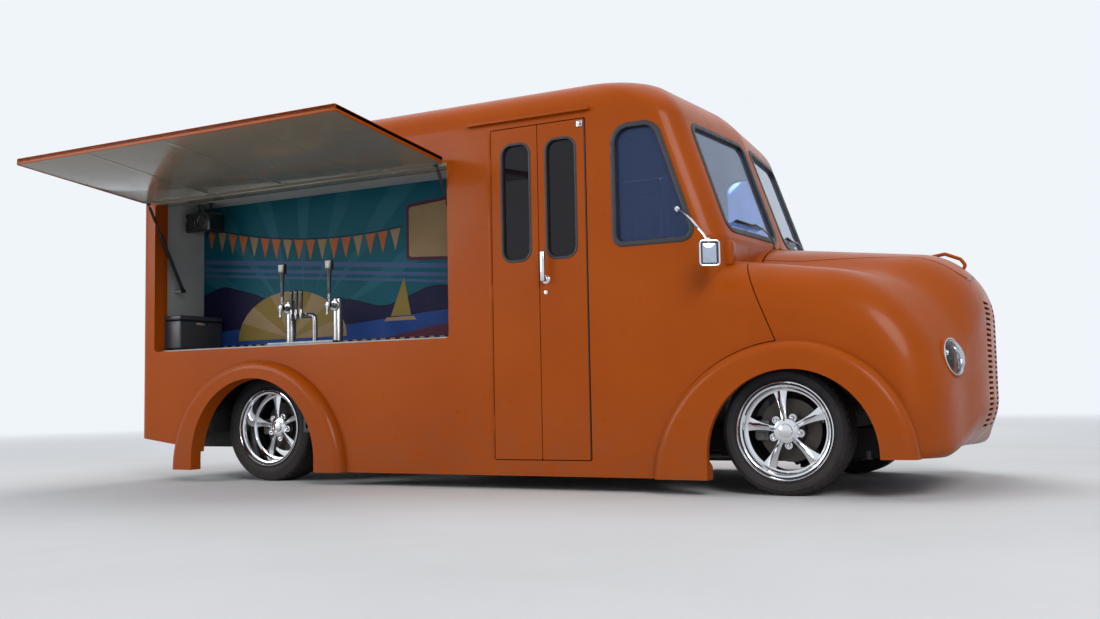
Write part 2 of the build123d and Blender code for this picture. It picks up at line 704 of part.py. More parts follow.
floor = block((INSIDE_TAIL_X, TOE_X + FLOOR_T), across(INSIDE_HALF), (FLOOR_Z, DECK_Z))
hollows = []
for name, side in SIDES:
    well = (DOOR_X[0] - STEP_MARGIN, DOOR_X[1] + STEP_MARGIN)
    floor += block(well, span(side, STEP_Y, INSIDE_HALF), (STEP_Z, DECK_Z))
    inner_well = (well[0] + SHEET, well[1] - SHEET)
    well_y = span(side, STEP_Y + SHEET, INSIDE_HALF + BEYOND)
    hollows.append(block(inner_well, well_y, (STEP_Z + SHEET, FAR)))
    outside, hollow = rear_house(side)
    floor += outside
    hollows.append(hollow)
hump_x = about(REAR_AXLE_X, HUMP_X)
hump_half = REAR_WHEEL_Y - REAR_TYRE_WIDTH / 2 - HOUSE_GAP - SHEET / 2
floor += block(hump_x, across(hump_half), (FLOOR_Z, HUMP_Z))
hollows.append(block((hump_x[0] + SHEET, hump_x[1] - SHEET), across(hump_half + SHEET), (0, HUMP_Z - SHEET)))
floor += block((TOE_X, TOE_X + FLOOR_T), across(INSIDE_HALF), (FLOOR_Z, TOE_Z))
floor += block((TOE_X, COWL_X - SEAM), across(INSIDE_HALF), (TOE_Z - TOE_T, TOE_Z))
for hollow in hollows:
    floor -= hollow
nodes["floor"] = floor

# Serving bay: counter, lining and the painted panel behind
COUNTER_Z = 820.0
COUNTER_T = 30.0
MURAL_Y = -400.0
MURAL_T = 15.0
BAY_FRONT_X = -150.0
SOFFIT_Z = 1800.0
BOARD = 20.0
APRON_Z = HUMP_Z + 30.0
bay_x = (INSIDE_TAIL_X, BAY_FRONT_X)
bay_y = (-INSIDE_HALF, MURAL_Y)
end_boards = ((INSIDE_TAIL_X, INSIDE_TAIL_X + BOARD), (BAY_FRONT_X - BOARD, BAY_FRONT_X))

counter = block(bay_x, bay_y, (COUNTER_Z - COUNTER_T, COUNTER_Z))
counter += block(bay_x, (MURAL_Y - BOARD, MURAL_Y), (APRON_Z, COUNTER_Z - COUNTER_T))
bay = block(bay_x, bay_y, (SOFFIT_Z, SOFFIT_Z + BOARD))
for x in end_boards:
    counter += block(x, bay_y, (DECK_Z, COUNTER_Z - COUNTER_T))
    bay += block(x, bay_y, (COUNTER_Z, SOFFIT_Z + BOARD))
nodes["counter"] = counter
mural = block(bay_x, (MURAL_Y, MURAL_Y + MURAL_T), (APRON_Z, SOFFIT_Z + BOARD))
mural += block((INSIDE_TAIL_X, INSIDE_TAIL_X + BOARD), (MURAL_Y, MURAL_Y + MURAL_T), (DECK_Z, APRON_Z))
mural += block((BAY_FRONT_X - BOARD, BAY_FRONT_X), (MURAL_Y, MURAL_Y + MURAL_T), (DECK_Z, APRON_Z))
nodes["mural_panel"] = mural

# Drink taps: two towers, and three small taps on a bent pipe
TOWERS_X = (-1460.0, -1100.0)
TOWER_IN = 180.0
TOWER_Y = TOWER_IN - BODY_HALF
TOWER_R = 29.0
TOWER_TOP = 1097.0
FAUCET_Z = 1045.0
FAUCET_OUT = 95.0
FAUCET_R = 13.0
SPOUT_R = 11.0
SPOUT_LOW = 60.0
STEM_OUT = 80.0
STEM_R = 8.0
STEM_UP = 35.0
TALL_HANDLE = 234.0
HANDLE_R = (13.0, 20.0)
BENT_X = -1275.0
BENT_Z = 1000.0
BENT_END_X = -1420.0
BENT_R = 16.0
BENT_BEND = 70.0
SMALL_TAPS = 3
SMALL_PITCH = 38.0
SMALL_FIRST_X = -1330.0
SMALL_OUT = 70.0
SMALL_R = 9.0
SMALL_HANDLE = 130.0
SMALL_HANDLE_R = (8.0, 12.0)
taps = []
handles = []
for x in TOWERS_X:
    tower = rod((x, TOWER_Y, COUNTER_Z), (x, TOWER_Y, TOWER_TOP), TOWER_R)
    tower += rod((x, TOWER_Y, FAUCET_Z), (x, TOWER_Y - FAUCET_OUT - SPOUT_R / 2, FAUCET_Z), FAUCET_R)
    spout_y = TOWER_Y - FAUCET_OUT
    tower += rod((x, spout_y, FAUCET_Z), (x, spout_y, FAUCET_Z - SPOUT_LOW), SPOUT_R)
    stem_y = TOWER_Y - STEM_OUT
    tower += rod((x, stem_y, FAUCET_Z), (x, stem_y, FAUCET_Z + STEM_UP), STEM_R)
    taps.append(tower)
    handle_z = FAUCET_Z + STEM_UP + TALL_HANDLE / 2
    handles.append(Pos(x, stem_y, handle_z) * Cone(*HANDLE_R, TALL_HANDLE))
manifold = pipe(
    [(BENT_X, TOWER_Y, COUNTER_Z), (BENT_X, TOWER_Y, BENT_Z - SMALL_R), (BENT_END_X, TOWER_Y, BENT_Z)],
    BENT_BEND,
    BENT_R,
)
for index in range(SMALL_TAPS):
    x = SMALL_FIRST_X - SMALL_PITCH * index
    tap_end = (x, TOWER_Y - SMALL_OUT, BENT_Z)
    manifold += rod((x, TOWER_Y, BENT_Z - SMALL_R / 2), tap_end, SMALL_R)
    stem_y = TOWER_Y - SMALL_OUT + SMALL_R
    manifold += rod((x, stem_y, BENT_Z), (x, stem_y, BENT_Z + 2 * SMALL_R), SMALL_R / 2)
    handle_z = BENT_Z + 2 * SMALL_R + SMALL_HANDLE / 2
    handles.append(Pos(x, stem_y, handle_z) * Cone(*SMALL_HANDLE_R, SMALL_HANDLE))
taps.append(manifold)
nodes["drink_taps"] = Compound(taps)
nodes["tap_handles"] = Compound(handles)

# Awning over the hatch, hung closed on its hinge and then turned open
AWNING_X = (-2485.0, -197.0)
AWNING_LENGTH = 945.0
AWNING_TOP_GAP = 14.0
AWNING_OPEN = 95.6
awning_y = about(-AWNING_HINGE_Y, AWNING_T)
awning_top = AWNING_HINGE_Z - AWNING_TOP_GAP
awning_lug_y = about(-AWNING_HINGE_Y, AWNING_BARREL_R)
awning = block(AWNING_X, awning_y, (AWNING_HINGE_Z - AWNING_LENGTH, awning_top))
awning += hinge(
    AWNING_AXIS,
    ALONG,
    AWNING_HINGES_X,
    AWNING_BARREL_R,
    moving_lug=lambda x: block(x, awning_lug_y, (awning_top - BEYOND, AWNING_HINGE_Z)),
)[1]
awning = awning.rotate(Axis(AWNING_AXIS, ALONG), -AWNING_OPEN)

# Gas struts: the cylinder on the bay's end board, the rod's eye at the awning
STRUT_FOOT_IN = 223.0
STRUT_HEAD_OUT = 49.0
STRUT_FOOT = (STRUT_FOOT_IN - BODY_HALF, 1216.0)
STRUT_HEAD = (-STRUT_HEAD_OUT - AWNING_HINGE_Y, 1748.0)
STRUT_INSET = 18.0
CYLINDER_R = 11.0
CYLINDER_LENGTH = 400.0
CYLINDER_START = 60.0
ROD_R = 4.5
ROD_START = 200.0
EYE_R = 14.0
EYE_T = 18.0
EYE_PIN_R = 6.0
ROD_EYE_R = 9.0
ROD_EYE_T = 12.0
BRACKET_T = 6.0
BRACKET_W = 24.0
strut_way = Vector(0, STRUT_HEAD[0] - STRUT_FOOT[0], STRUT_HEAD[1] - STRUT_FOOT[1])
strut_unit = strut_way.normalized()
strut_places = (
    ("rear", HATCH_X[0] + STRUT_INSET, INSIDE_TAIL_X + BOARD / 2, -1),
    ("front", HATCH_X[1] - STRUT_INSET, BAY_FRONT_X - BOARD / 2, 1),
)
for label, x, wall_x, outward in strut_places:
    foot = Vector(x, *STRUT_FOOT)
    head = foot + strut_way
    cylinder_foot = foot + strut_unit * (EYE_R - 1)
    cylinder_head = foot + strut_unit * CYLINDER_LENGTH
    cylinder = rod(tuple(cylinder_foot), tuple(cylinder_head), CYLINDER_R)
    cylinder += rod((x - EYE_T / 2, *STRUT_FOOT), (x + EYE_T / 2, *STRUT_FOOT), EYE_R)
    cylinder -= rod((x - EYE_T, *STRUT_FOOT), (x + EYE_T, *STRUT_FOOT), EYE_PIN_R + BORE_FIT)
    bore_start = foot + strut_unit * CYLINDER_START
    bore_end = foot + strut_unit * (CYLINDER_LENGTH + BEYOND)
    cylinder -= rod(tuple(bore_start), tuple(bore_end), ROD_R + BORE_FIT)
    nodes[f"strut_cylinder_{label}"] = cylinder
    piston = rod(tuple(foot + strut_unit * ROD_START), tuple(head), ROD_R)
    eye_x = about(x, ROD_EYE_T)
    piston += rod((eye_x[0], *STRUT_HEAD), (eye_x[1], *STRUT_HEAD), ROD_EYE_R)
    nodes[f"strut_rod_{label}"] = piston
    pin_start = x + outward * (EYE_T / 2 + BORE_FIT)
    bay += rod((wall_x, *STRUT_FOOT), (pin_start, *STRUT_FOOT), 2 * EYE_PIN_R)
    bay += rod((wall_x, *STRUT_FOOT), (x - outward * EYE_T / 2, *STRUT_FOOT), EYE_PIN_R)
    bracket_x = x - outward * (ROD_EYE_T / 2 + CLEAR + BRACKET_T / 2)
    bracket_z = (STRUT_HEAD[1] - ROD_EYE_R, FAR)
    bracket = block(about(bracket_x, BRACKET_T), about(STRUT_HEAD[0], BRACKET_W), bracket_z)
    awning_under = block(AWNING_X, (-FAR, -AWNING_HINGE_Y - CLEAR), (0, AWNING_HINGE_Z + AWNING_T / 2))
    awning += bracket & awning_under.rotate(Axis(AWNING_AXIS, ALONG), 90 - AWNING_OPEN)
nodes["awning"] = awning
nodes["bay_lining"] = bay

# Folding doors: two leaves a side, the rear one on the jamb and the front one on the rear one
DOOR_GAP = 5.0
DOOR_LEAD_GAP = 11.0
FOLD_X = 366.0
LEAF_WINDOW_Z = (1195.0, 1825.0)
LEAF_WINDOW_R = 60.0
LEAF_R = 6.0
LEAF_GLASS_DEEP = 22.0
FOLD_HINGES_Z = (300.0, 1100.0, 1760.0)
GRIP_X = (396.0, 416.0)
GRIP_Z = (1080.0, 1230.0)
GRIP_FOOT = 20.0
GRIP_OUT = 45.0
GRIP_T = 15.0
# Columns: leaf, its span along X, its window's span along X
LEAVES = (
    ("rear", (DOOR_X[0] + DOOR_GAP, FOLD_X - DOOR_GAP / 2), (145.0, 320.0)),
    ("front", (FOLD_X + DOOR_GAP / 2, DOOR_X[1] - DOOR_LEAD_GAP), (412.0, 590.0)),
)


def door_barrels(side):
    """What turns in the jamb's hinge: barrels with lugs to the rear leaf."""
    axis = (DOOR_HINGE_X, side * BODY_HALF, 0)
    lug_x = (DOOR_HINGE_X, DOOR_X[0] + 2 * DOOR_GAP)
    lug_y = span(side, BODY_HALF - PIN_R, BODY_HALF)
    lug = lambda z: block(lug_x, lug_y, z)
    return hinge(axis, UP, DOOR_HINGES_Z, DOOR_BARREL_R, moving_lug=lug)[1]


def fold_barrels(side):
    """The fold's hinge: what belongs to the rear leaf, and what to the front leaf."""
    lug_y = span(side, BODY_HALF - DOOR_T, BODY_HALF - DOOR_T + PIN_R)
    return hinge(
        (FOLD_X, side * (BODY_HALF - DOOR_T), 0),
        UP,
        FOLD_HINGES_Z,
        DOOR_BARREL_R,
        lambda z: block((FOLD_X - 2 * DOOR_GAP, FOLD_X), lug_y, z),
        lambda z: block((FOLD_X, FOLD_X + 2 * DOOR_GAP), lug_y, z),
    )


def door_leaf(side, leaf, x, window_x):
    face = opening_face(x, (DOOR_Z[0] + DOOR_GAP, DOOR_Z[1] - DOOR_GAP), LEAF_R)
    face -= opening_face(window_x, LEAF_WINDOW_Z, LEAF_WINDOW_R)
    panel = side_slab(face, span(side, BODY_HALF - DOOR_T, BODY_HALF))
    fold_axis = (FOLD_X, side * (BODY_HALF - DOOR_T), 0)
    panel -= clearance(fold_axis, UP, FOLD_HINGES_Z, DOOR_BARREL_R + 1)
    if leaf == "rear":
        return panel + door_barrels(side) + fold_barrels(side)[0]
    foot_y = span(side, BODY_HALF, BODY_HALF + GRIP_OUT)
    grip_y = span(side, BODY_HALF + GRIP_OUT - GRIP_T, BODY_HALF + GRIP_OUT)
    panel += block(GRIP_X, foot_y, (GRIP_Z[0], GRIP_Z[0] + GRIP_FOOT))
    panel += block(GRIP_X, grip_y, GRIP_Z)
    return panel + fold_barrels(side)[1]


for name, side in SIDES:
    for leaf, x, window_x in LEAVES:
        nodes[f"door_{name}_{leaf}"] = door_leaf(side, leaf, x, window_x)
        pane = offset(opening_face(window_x, LEAF_WINDOW_Z, LEAF_WINDOW_R), -GLASS_FIT)
        glass_y = span(side, BODY_HALF - LEAF_GLASS_DEEP, BODY_HALF - LEAF_GLASS_DEEP + GLASS_T)
        nodes[f"door_glass_{name}_{leaf}"] = side_slab(pane, glass_y)

# Mirrors on bent arms
# Columns of the arm: X, distance out from the body's side, Z
MIRROR_ARM = ((1137, -2, 1390), (1230, 80, 1330), (1290, 130, 1250), (1330, 135, 1190))
MIRROR_ARM_R = 6.0
MIRROR_BEND = 30.0
MIRROR_OUT = 140.0
MIRROR_AT = (1348.0, BODY_HALF + MIRROR_OUT, 1140.0)
MIRROR_SIZE = (28.0, 100.0, 125.0)
MIRROR_R = 18.0
MIRROR_TURN = 60.0
mirror_head = Box(*MIRROR_SIZE)
mirror_head = fillet(mirror_head.edges().filter_by(Axis.X), MIRROR_R)
mirror_head = Pos(*MIRROR_AT) * Rot(0, 0, MIRROR_TURN) * mirror_head
mirror_arm = pipe([(x, BODY_HALF + out, z) for x, out, z in MIRROR_ARM], MIRROR_BEND, MIRROR_ARM_R)
left_mirror = mirror_arm + mirror_head
nodes["mirrors"] = Compound([left_mirror, mirrored(left_mirror)])

# Chassis: two rails notched over the rear axle, with plate crossmembers
CROSS_X = (-2420.0, -1150.0, 100.0, 1150.0, 2110.0)
CROSS_W = 60.0
CROSS_T = 18.0
NOTCH_W = 120.0
NOTCH_Z = 265.0
chassis = []
for name, side in SIDES:
    rail = block(RAIL_X, span(side, RAIL_Y - RAIL_W / 2, RAIL_Y + RAIL_W / 2), RAIL_Z)
    rail -= block(about(REAR_AXLE_X, NOTCH_W), across(FAR), (NOTCH_Z, FLOOR_Z + BEYOND))
    chassis.append(rail)
for x in CROSS_X:
    chassis.append(block(about(x, CROSS_W), across(RAIL_Y), (RAIL_Z[0], RAIL_Z[0] + CROSS_T)))
frame_rails = chassis[0]
for piece in chassis[1:]:
    frame_rails += piece
nodes["chassis_frame"] = frame_rails

# Front axle: a dropped beam on leaf springs under the rails, with bosses for the kingpins
SPRING_HALF = 450.0
SPRING_W = 50.0
SPRING_T = 30.0
BEAM_X = 50.0
BEAM_T = 50.0
BEAM_HALF = 470.0
BEAM_R = 24.0
BOSS_R = 30.0
BOSS_H = 70.0
KINGPIN_R = 14.0
EYE_H = 38.0
EYE_GAP = 6.0
SPINDLE_R = 20.0
SPINDLE_REACH = 20.0
spring_z = (RAIL_Z[0] - SPRING_T, RAIL_Z[0])
beam_top = spring_z[0]
front_axle = block(about(FRONT_AXLE_X, BEAM_X), across(BEAM_HALF), (beam_top - BEAM_T, beam_top))
for name, side in SIDES:
    low = (FRONT_AXLE_X, side * (BEAM_HALF - BEAM_R / 2), beam_top - BEAM_T / 2)
    high = (FRONT_AXLE_X, side * (KINGPIN_Y - 4 * BEAM_R), FRONT_TYRE_R)
    end = (FRONT_AXLE_X, side * (KINGPIN_Y - BOSS_R / 2), FRONT_TYRE_R)
    pin_at = Pos(FRONT_AXLE_X, side * KINGPIN_Y, FRONT_TYRE_R)
    front_axle += rod(low, high, BEAM_R)
    front_axle += rod(high, end, BEAM_R)
    front_axle += Pos(*high) * Sphere(BEAM_R)
    front_axle += pin_at * Cylinder(BOSS_R, BOSS_H)
    spring_y = span(side, RAIL_Y - SPRING_W / 2, RAIL_Y + SPRING_W / 2)
    front_axle += block(about(FRONT_AXLE_X, 2 * SPRING_HALF), spring_y, spring_z)
    front_axle -= pin_at * Cylinder(KINGPIN_R + BORE_FIT, 2 * BOSS_H)
nodes["front_axle"] = front_axle


# Knuckles: eyes above and below the boss, a kingpin, a plate and the wheel's spindle
def knuckle(side):
    pin_at = Pos(FRONT_AXLE_X, side * KINGPIN_Y, FRONT_TYRE_R)
    eye_z = (BOSS_H + EYE_H) / 2 + EYE_GAP
    plate_h = 2 * eye_z + EYE_H
    plate_y = span(side, KINGPIN_Y + BOSS_R + EYE_GAP, KINGPIN_Y + 2 * BOSS_R)
    shape = block(about(FRONT_AXLE_X, 2 * BOSS_R), plate_y, about(FRONT_TYRE_R, plate_h))
    for z in (-eye_z, eye_z):
        shape += pin_at * Pos(0, 0, z) * Cylinder(BOSS_R, EYE_H)
        link_y = span(side, KINGPIN_Y, KINGPIN_Y + 2 * BOSS_R)
        shape += block(about(FRONT_AXLE_X, BEAM_X), link_y, about(FRONT_TYRE_R + z, EYE_H))
    shape += pin_at * Cylinder(KINGPIN_R, plate_h)
    start = (FRONT_AXLE_X, side * (KINGPIN_Y + BOSS_R + 2 * EYE_GAP), FRONT_TYRE_R)
    end = (FRONT_AXLE_X, side * (FRONT_WHEEL_Y + SPINDLE_REACH), FRONT_TYRE_R)
    return shape + rod(start, end, SPINDLE_R)


for name, side in SIDES:
    nodes[f"knuckle_{name}"] = knuckle(side)

# Rear axle: tube, differential with a low pinion, and leaf springs beside the rails
AXLE_R = 38.0
AXLE_HALF = 440.0
STUB_R = 26.0
STUB_REACH = 10.0
DIFF_R = 140.0
PINION_R = 50.0
PINION_Z = 262.0
PINION_REACH = 170.0
rear_axle = rod((REAR_AXLE_X, -AXLE_HALF, REAR_TYRE_R), (REAR_AXLE_X, AXLE_HALF, REAR_TYRE_R), AXLE_R)
rear_axle += Pos(REAR_AXLE_X, 0, REAR_TYRE_R) * Sphere(DIFF_R)
rear_axle += rod((REAR_AXLE_X, 0, PINION_Z), (REAR_AXLE_X + PINION_REACH, 0, PINION_Z), PINION_R)
for name, side in SIDES:
    start = (REAR_AXLE_X, side * (AXLE_HALF - STUB_R), REAR_TYRE_R)
    end = (REAR_AXLE_X, side * (REAR_WHEEL_Y + STUB_REACH), REAR_TYRE_R)
    rear_axle += rod(start, end, STUB_R)
    spring_out = RAIL_Y - RAIL_W / 2
    spring_y = span(side, spring_out - SPRING_W, spring_out)
    saddle_z = REAR_TYRE_R - AXLE_R
    leaf_z = (RAIL_Z[0] + SPRING_T, RAIL_Z[0] + 2 * SPRING_T)
    rear_axle += block(about(REAR_AXLE_X, 2 * SPRING_HALF), spring_y, leaf_z)
    rear_axle += block(about(REAR_AXLE_X, 2 * AXLE_R), spring_y, (leaf_z[0], saddle_z + AXLE_R / 2))
nodes["rear_axle"] = rear_axle

# Engine as one plain block with its gearbox and two mounts, the driveshaft and the exhaust
ENGINE_SIZE = (640.0, 460.0, 520.0)
ENGINE_AT = (1780.0, 0.0, 640.0)
MOUNT_X = 80.0
BELL_X = (1400.0, 1500.0)
BELL_HALF = 90.0
GEARBOX_TAIL_X = 1200.0
GEARBOX_Z = 250.0
GEARBOX_RISE = 40.0
GEARBOX_R = 95.0
SHAFT_R = 30.0
engine = Pos(*ENGINE_AT) * Box(*ENGINE_SIZE)
engine_foot = ENGINE_AT[2] - ENGINE_SIZE[2] / 2
engine += block(about(ENGINE_AT[0], MOUNT_X), across(RAIL_Y), (RAIL_Z[1], engine_foot + MOUNT_X / 2))
engine += block(BELL_X, across(BELL_HALF), (GEARBOX_Z + GEARBOX_RISE, engine_foot + 2 * GEARBOX_R))
gearbox = rod((GEARBOX_TAIL_X, 0, GEARBOX_Z), (BELL_X[1], 0, GEARBOX_Z + GEARBOX_RISE), GEARBOX_R)
nodes["engine"] = engine + (gearbox & block((GEARBOX_TAIL_X, BELL_X[1]), across(FAR), (0, FAR)))
shaft = rod((REAR_AXLE_X + PINION_REACH, 0, PINION_Z), (GEARBOX_TAIL_X, 0, GEARBOX_Z), SHAFT_R)
nodes["driveshaft"] = shaft & block((REAR_AXLE_X + PINION_REACH, GEARBOX_TAIL_X), across(FAR), (0, FAR))

EXHAUST_Y = -256.0
EXHAUST_Z = 150.0
EXHAUST_R = 26.0
EXHAUST_BEND = 120.0
EXHAUST_TAIL_X = -1300.0
MANIFOLD_AT = (1600.0, 420.0)
DOWNPIPE_X = 1290.0
MUFFLER_X = (-850.0, -250.0)
MUFFLER_R = 58.0
HANGER_W = 20.0
exhaust = pipe(
    [
        (MANIFOLD_AT[0], EXHAUST_Y, MANIFOLD_AT[1]),
        (DOWNPIPE_X, EXHAUST_Y, EXHAUST_Z),
        (EXHAUST_TAIL_X, EXHAUST_Y, EXHAUST_Z),
    ],
    EXHAUST_BEND,
    EXHAUST_R,
)
exhaust += rod((MUFFLER_X[0], EXHAUST_Y, EXHAUST_Z), (MUFFLER_X[1], EXHAUST_Y, EXHAUST_Z), MUFFLER_R)
for x in CROSS_X[1:4]:
    exhaust += block(about(x, HANGER_W), about(EXHAUST_Y, HANGER_W), (EXHAUST_Z, RAIL_Z[0]))
nodes["exhaust"] = exhaust

# Wheels: five-spoke rims and their tyres
RIM_SEAT_R = 216.0
RIM_LIP_R = 233.5
RIM_SHY = 6.0
RIM_BARREL_R = 197.5
LIP_W = 11.0
SEAT_FIT = 0.3
HUB_R = 72.0
HUB_DEPTH = 50.0
CAP_R = 34.0
CAP_OUT = 12.0
SPOKES = 5
SPOKE_ROOT = (16.0, 58.0)
SPOKE_TIP = (31.0, 203.0)
SPOKE_T = 34.0
SPOKE_FALL = 26.0
SIDEWALL_R = 60.0
TREAD_R = 24.0
TREAD_IN = 14.0
BEAD_IN = 12.0


def tyre(radius, width):
    """A tyre about Y."""
    half = width / 2
    bulge = (RIM_SEAT_R + radius) / 2
    points = [
        (RIM_SEAT_R, BEAD_IN - half),
        (bulge, -half),
        (radius, TREAD_IN - half),
        (radius, half - TREAD_IN),
        (bulge, half),
        (RIM_SEAT_R, half - BEAD_IN),
    ]
    return revolve(Plane.XY * rounded(points, [0, SIDEWALL_R, TREAD_R, TREAD_R, SIDEWALL_R, 0]), Axis.Y)


def rim(width, dish, bore_r):
    """A five-spoke rim about Y, its outer side towards +Y."""
    half = width / 2 - RIM_SHY
    face = half - dish
    barrel = polygon(
        (RIM_SEAT_R - SEAT_FIT, -half),
        (RIM_LIP_R - 2 * LIP_W, -half),
        (RIM_BARREL_R, 2 * LIP_W - half),
        (RIM_BARREL_R, half - 3 * LIP_W),
        (RIM_LIP_R - LIP_W, half),
        (RIM_SEAT_R - SEAT_FIT, half),
    )
    body = revolve(Plane.XY * barrel, Axis.Y)
    body += rod((0, face - HUB_DEPTH, 0), (0, face, 0), HUB_R)
    body += rod((0, face, 0), (0, face + CAP_OUT, 0), CAP_R)
    front_view = polygon(
        (-SPOKE_ROOT[0], SPOKE_ROOT[1]),
        (-SPOKE_TIP[0], SPOKE_TIP[1]),
        (SPOKE_TIP[0], SPOKE_TIP[1]),
        (SPOKE_ROOT[0], SPOKE_ROOT[1]),
    )
    profile = polygon(
        (face - SPOKE_T, SPOKE_ROOT[1]),
        (face - SPOKE_T - SPOKE_FALL, SPOKE_TIP[1]),
        (face - SPOKE_FALL, SPOKE_TIP[1]),
        (face, SPOKE_ROOT[1]),
    )
    spoke = extrude(Plane.XZ.offset(-half) * front_view, width)
    spoke_half = max(SPOKE_ROOT[0], SPOKE_TIP[0])
    spoke &= extrude(Plane.YZ.offset(-spoke_half) * profile, 2 * spoke_half)
    for index in range(SPOKES):
        body += spoke.rotate(Axis.Y, index * 360 / SPOKES)
    return body - rod((0, face - HUB_DEPTH - BEYOND, 0), (0, face - BEYOND, 0), bore_r)


# Columns: name, axle, side, distance from the centre line, tyre radius, width, dish, bore radius
WHEELS = (
    ("front_right", FRONT_AXLE_X, -1, FRONT_WHEEL_Y, FRONT_TYRE_R, FRONT_TYRE_WIDTH, 28.0, SPINDLE_R),
    ("front_left", FRONT_AXLE_X, 1, FRONT_WHEEL_Y, FRONT_TYRE_R, FRONT_TYRE_WIDTH, 28.0, SPINDLE_R),
    ("rear_right", REAR_AXLE_X, -1, REAR_WHEEL_Y, REAR_TYRE_R, REAR_TYRE_WIDTH, 85.0, STUB_R),
    ("rear_left", REAR_AXLE_X, 1, REAR_WHEEL_Y, REAR_TYRE_R, REAR_TYRE_WIDTH, 85.0, STUB_R),
)
for name, x, side, y, radius, width, dish, bore_r in WHEELS:
    place = Pos(x, side * y, radius)
    wheel_rim = rim(width, dish, bore_r + BORE_FIT)
    if side < 0:
        wheel_rim = mirrored(wheel_rim)
    nodes[f"rim_{name}"] = place * wheel_rim
    nodes[f"tyre_{name}"] = place * tyre(radius, width)

# Cab fittings: the driver's seat on its pedestal, and the steering wheel on its column
SEAT_Y = (250.0, 700.0)
SEAT_X = (350.0, 780.0)
SEAT_BACK_X = (300.0, 400.0)
SEAT_UP = 250.0
SEAT_T = 120.0
SEAT_BACK_UP = 900.0
PEDESTAL_X = (500.0, 620.0)
PEDESTAL_Y = (430.0, 520.0)
SEAT_R = 30.0
cushion = fillet(block(SEAT_X, SEAT_Y, (DECK_Z + SEAT_UP, DECK_Z + SEAT_UP + SEAT_T)).edges(), SEAT_R)
backrest = fillet(block(SEAT_BACK_X, SEAT_Y, (DECK_Z + SEAT_UP, DECK_Z + SEAT_BACK_UP)).edges(), SEAT_R)
pedestal = block(PEDESTAL_X, PEDESTAL_Y, (DECK_Z, DECK_Z + SEAT_UP + SEAT_T / 2))
nodes["seat"] = cushion + backrest + pedestal

STEERING_AT = Vector(930, 475, 1080)
STEERING_LEAN = Vector(-0.5, 0, 0.866)
STEERING_R = 200.0
STEERING_RIM_R = 14.0
STEERING_BAR = 26.0
COLUMN_R = 20.0
COLUMN_L = 600.0
wheel_plane = Plane(origin=tuple(STEERING_AT), z_dir=tuple(STEERING_LEAN))
steering = wheel_plane * Torus(STEERING_R, STEERING_RIM_R)
steering += wheel_plane * Box(2 * STEERING_R, STEERING_BAR, STEERING_RIM_R)
steering += rod(tuple(STEERING_AT), tuple(STEERING_AT - STEERING_LEAN * COLUMN_L), COLUMN_R)
nodes["steering_wheel"] = steering - block((TOE_X, FAR), (0, BODY_HALF), (0, BELT_Z))

TAIL_LAMP_IN = 120.0
TAIL_LAMP_AT = (BODY_HALF - TAIL_LAMP_IN, 620.0)
TAIL_LAMP_R = 50.0
TAIL_LAMP_T = 28.0
tail_lamps = []
for name, side in SIDES:
    lamp_y, lamp_z = side * TAIL_LAMP_AT[0], TAIL_LAMP_AT[1]
    tail_lamps.append(rod((TAIL_X, lamp_y, lamp_z), (TAIL_X - TAIL_LAMP_T, lamp_y, lamp_z), TAIL_LAMP_R))
nodes["tail_lamps"] = Compound(tail_lamps)

for name, shape in nodes.items():
    export_step(shape, f"parts/{name}.step")
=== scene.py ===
import math

import bmesh
import bpy
from mathutils import Matrix, Vector


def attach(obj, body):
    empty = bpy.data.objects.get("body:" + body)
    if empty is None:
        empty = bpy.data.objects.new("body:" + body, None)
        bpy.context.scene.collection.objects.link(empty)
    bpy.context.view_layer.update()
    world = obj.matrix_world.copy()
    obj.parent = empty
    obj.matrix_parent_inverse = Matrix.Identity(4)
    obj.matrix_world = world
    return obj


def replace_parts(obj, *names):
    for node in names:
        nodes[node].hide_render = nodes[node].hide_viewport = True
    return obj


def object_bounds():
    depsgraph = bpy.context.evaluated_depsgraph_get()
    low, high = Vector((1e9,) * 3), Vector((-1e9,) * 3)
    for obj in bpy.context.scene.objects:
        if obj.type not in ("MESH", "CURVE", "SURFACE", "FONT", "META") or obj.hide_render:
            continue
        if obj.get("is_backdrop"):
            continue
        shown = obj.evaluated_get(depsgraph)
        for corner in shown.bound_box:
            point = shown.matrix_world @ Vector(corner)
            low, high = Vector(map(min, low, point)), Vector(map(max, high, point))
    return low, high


# Food truck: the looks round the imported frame.
# Metres, X forward, Y to the left, Z up, as in the CAD.
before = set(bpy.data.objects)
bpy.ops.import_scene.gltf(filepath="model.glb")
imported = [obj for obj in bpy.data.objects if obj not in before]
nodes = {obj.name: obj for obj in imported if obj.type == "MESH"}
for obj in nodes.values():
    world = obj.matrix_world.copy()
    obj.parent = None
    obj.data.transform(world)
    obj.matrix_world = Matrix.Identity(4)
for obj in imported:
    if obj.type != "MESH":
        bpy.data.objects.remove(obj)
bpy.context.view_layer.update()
scene = bpy.context.scene
sides = (("right", -1), ("left", 1))
print("frame loaded,", len(nodes), "nodes")


def shift(place):
    return Matrix.Translation(place)


def spun(degrees, axis):
    return Matrix.Rotation(math.radians(degrees), 4, axis)


def turnTo(way):
    return Vector(way).to_track_quat("Z", "Y").to_matrix().to_4x4()


# Each shape call gives a bmesh, and piece() joins them into one object
def moved(bm, place):
    if place:
        bm.transform(place)
    return bm


def soften(bm, radius, steps=2, angle=40):
    sharp = [e for e in bm.edges if len(e.link_faces) == 2 and e.calc_face_angle(0) > math.radians(angle)]
    bmesh.ops.bevel(bm, geom=sharp, offset=radius, offset_type="OFFSET", affect="EDGES",
                    segments=steps, profile=0.5, material=-1, clamp_overlap=True)


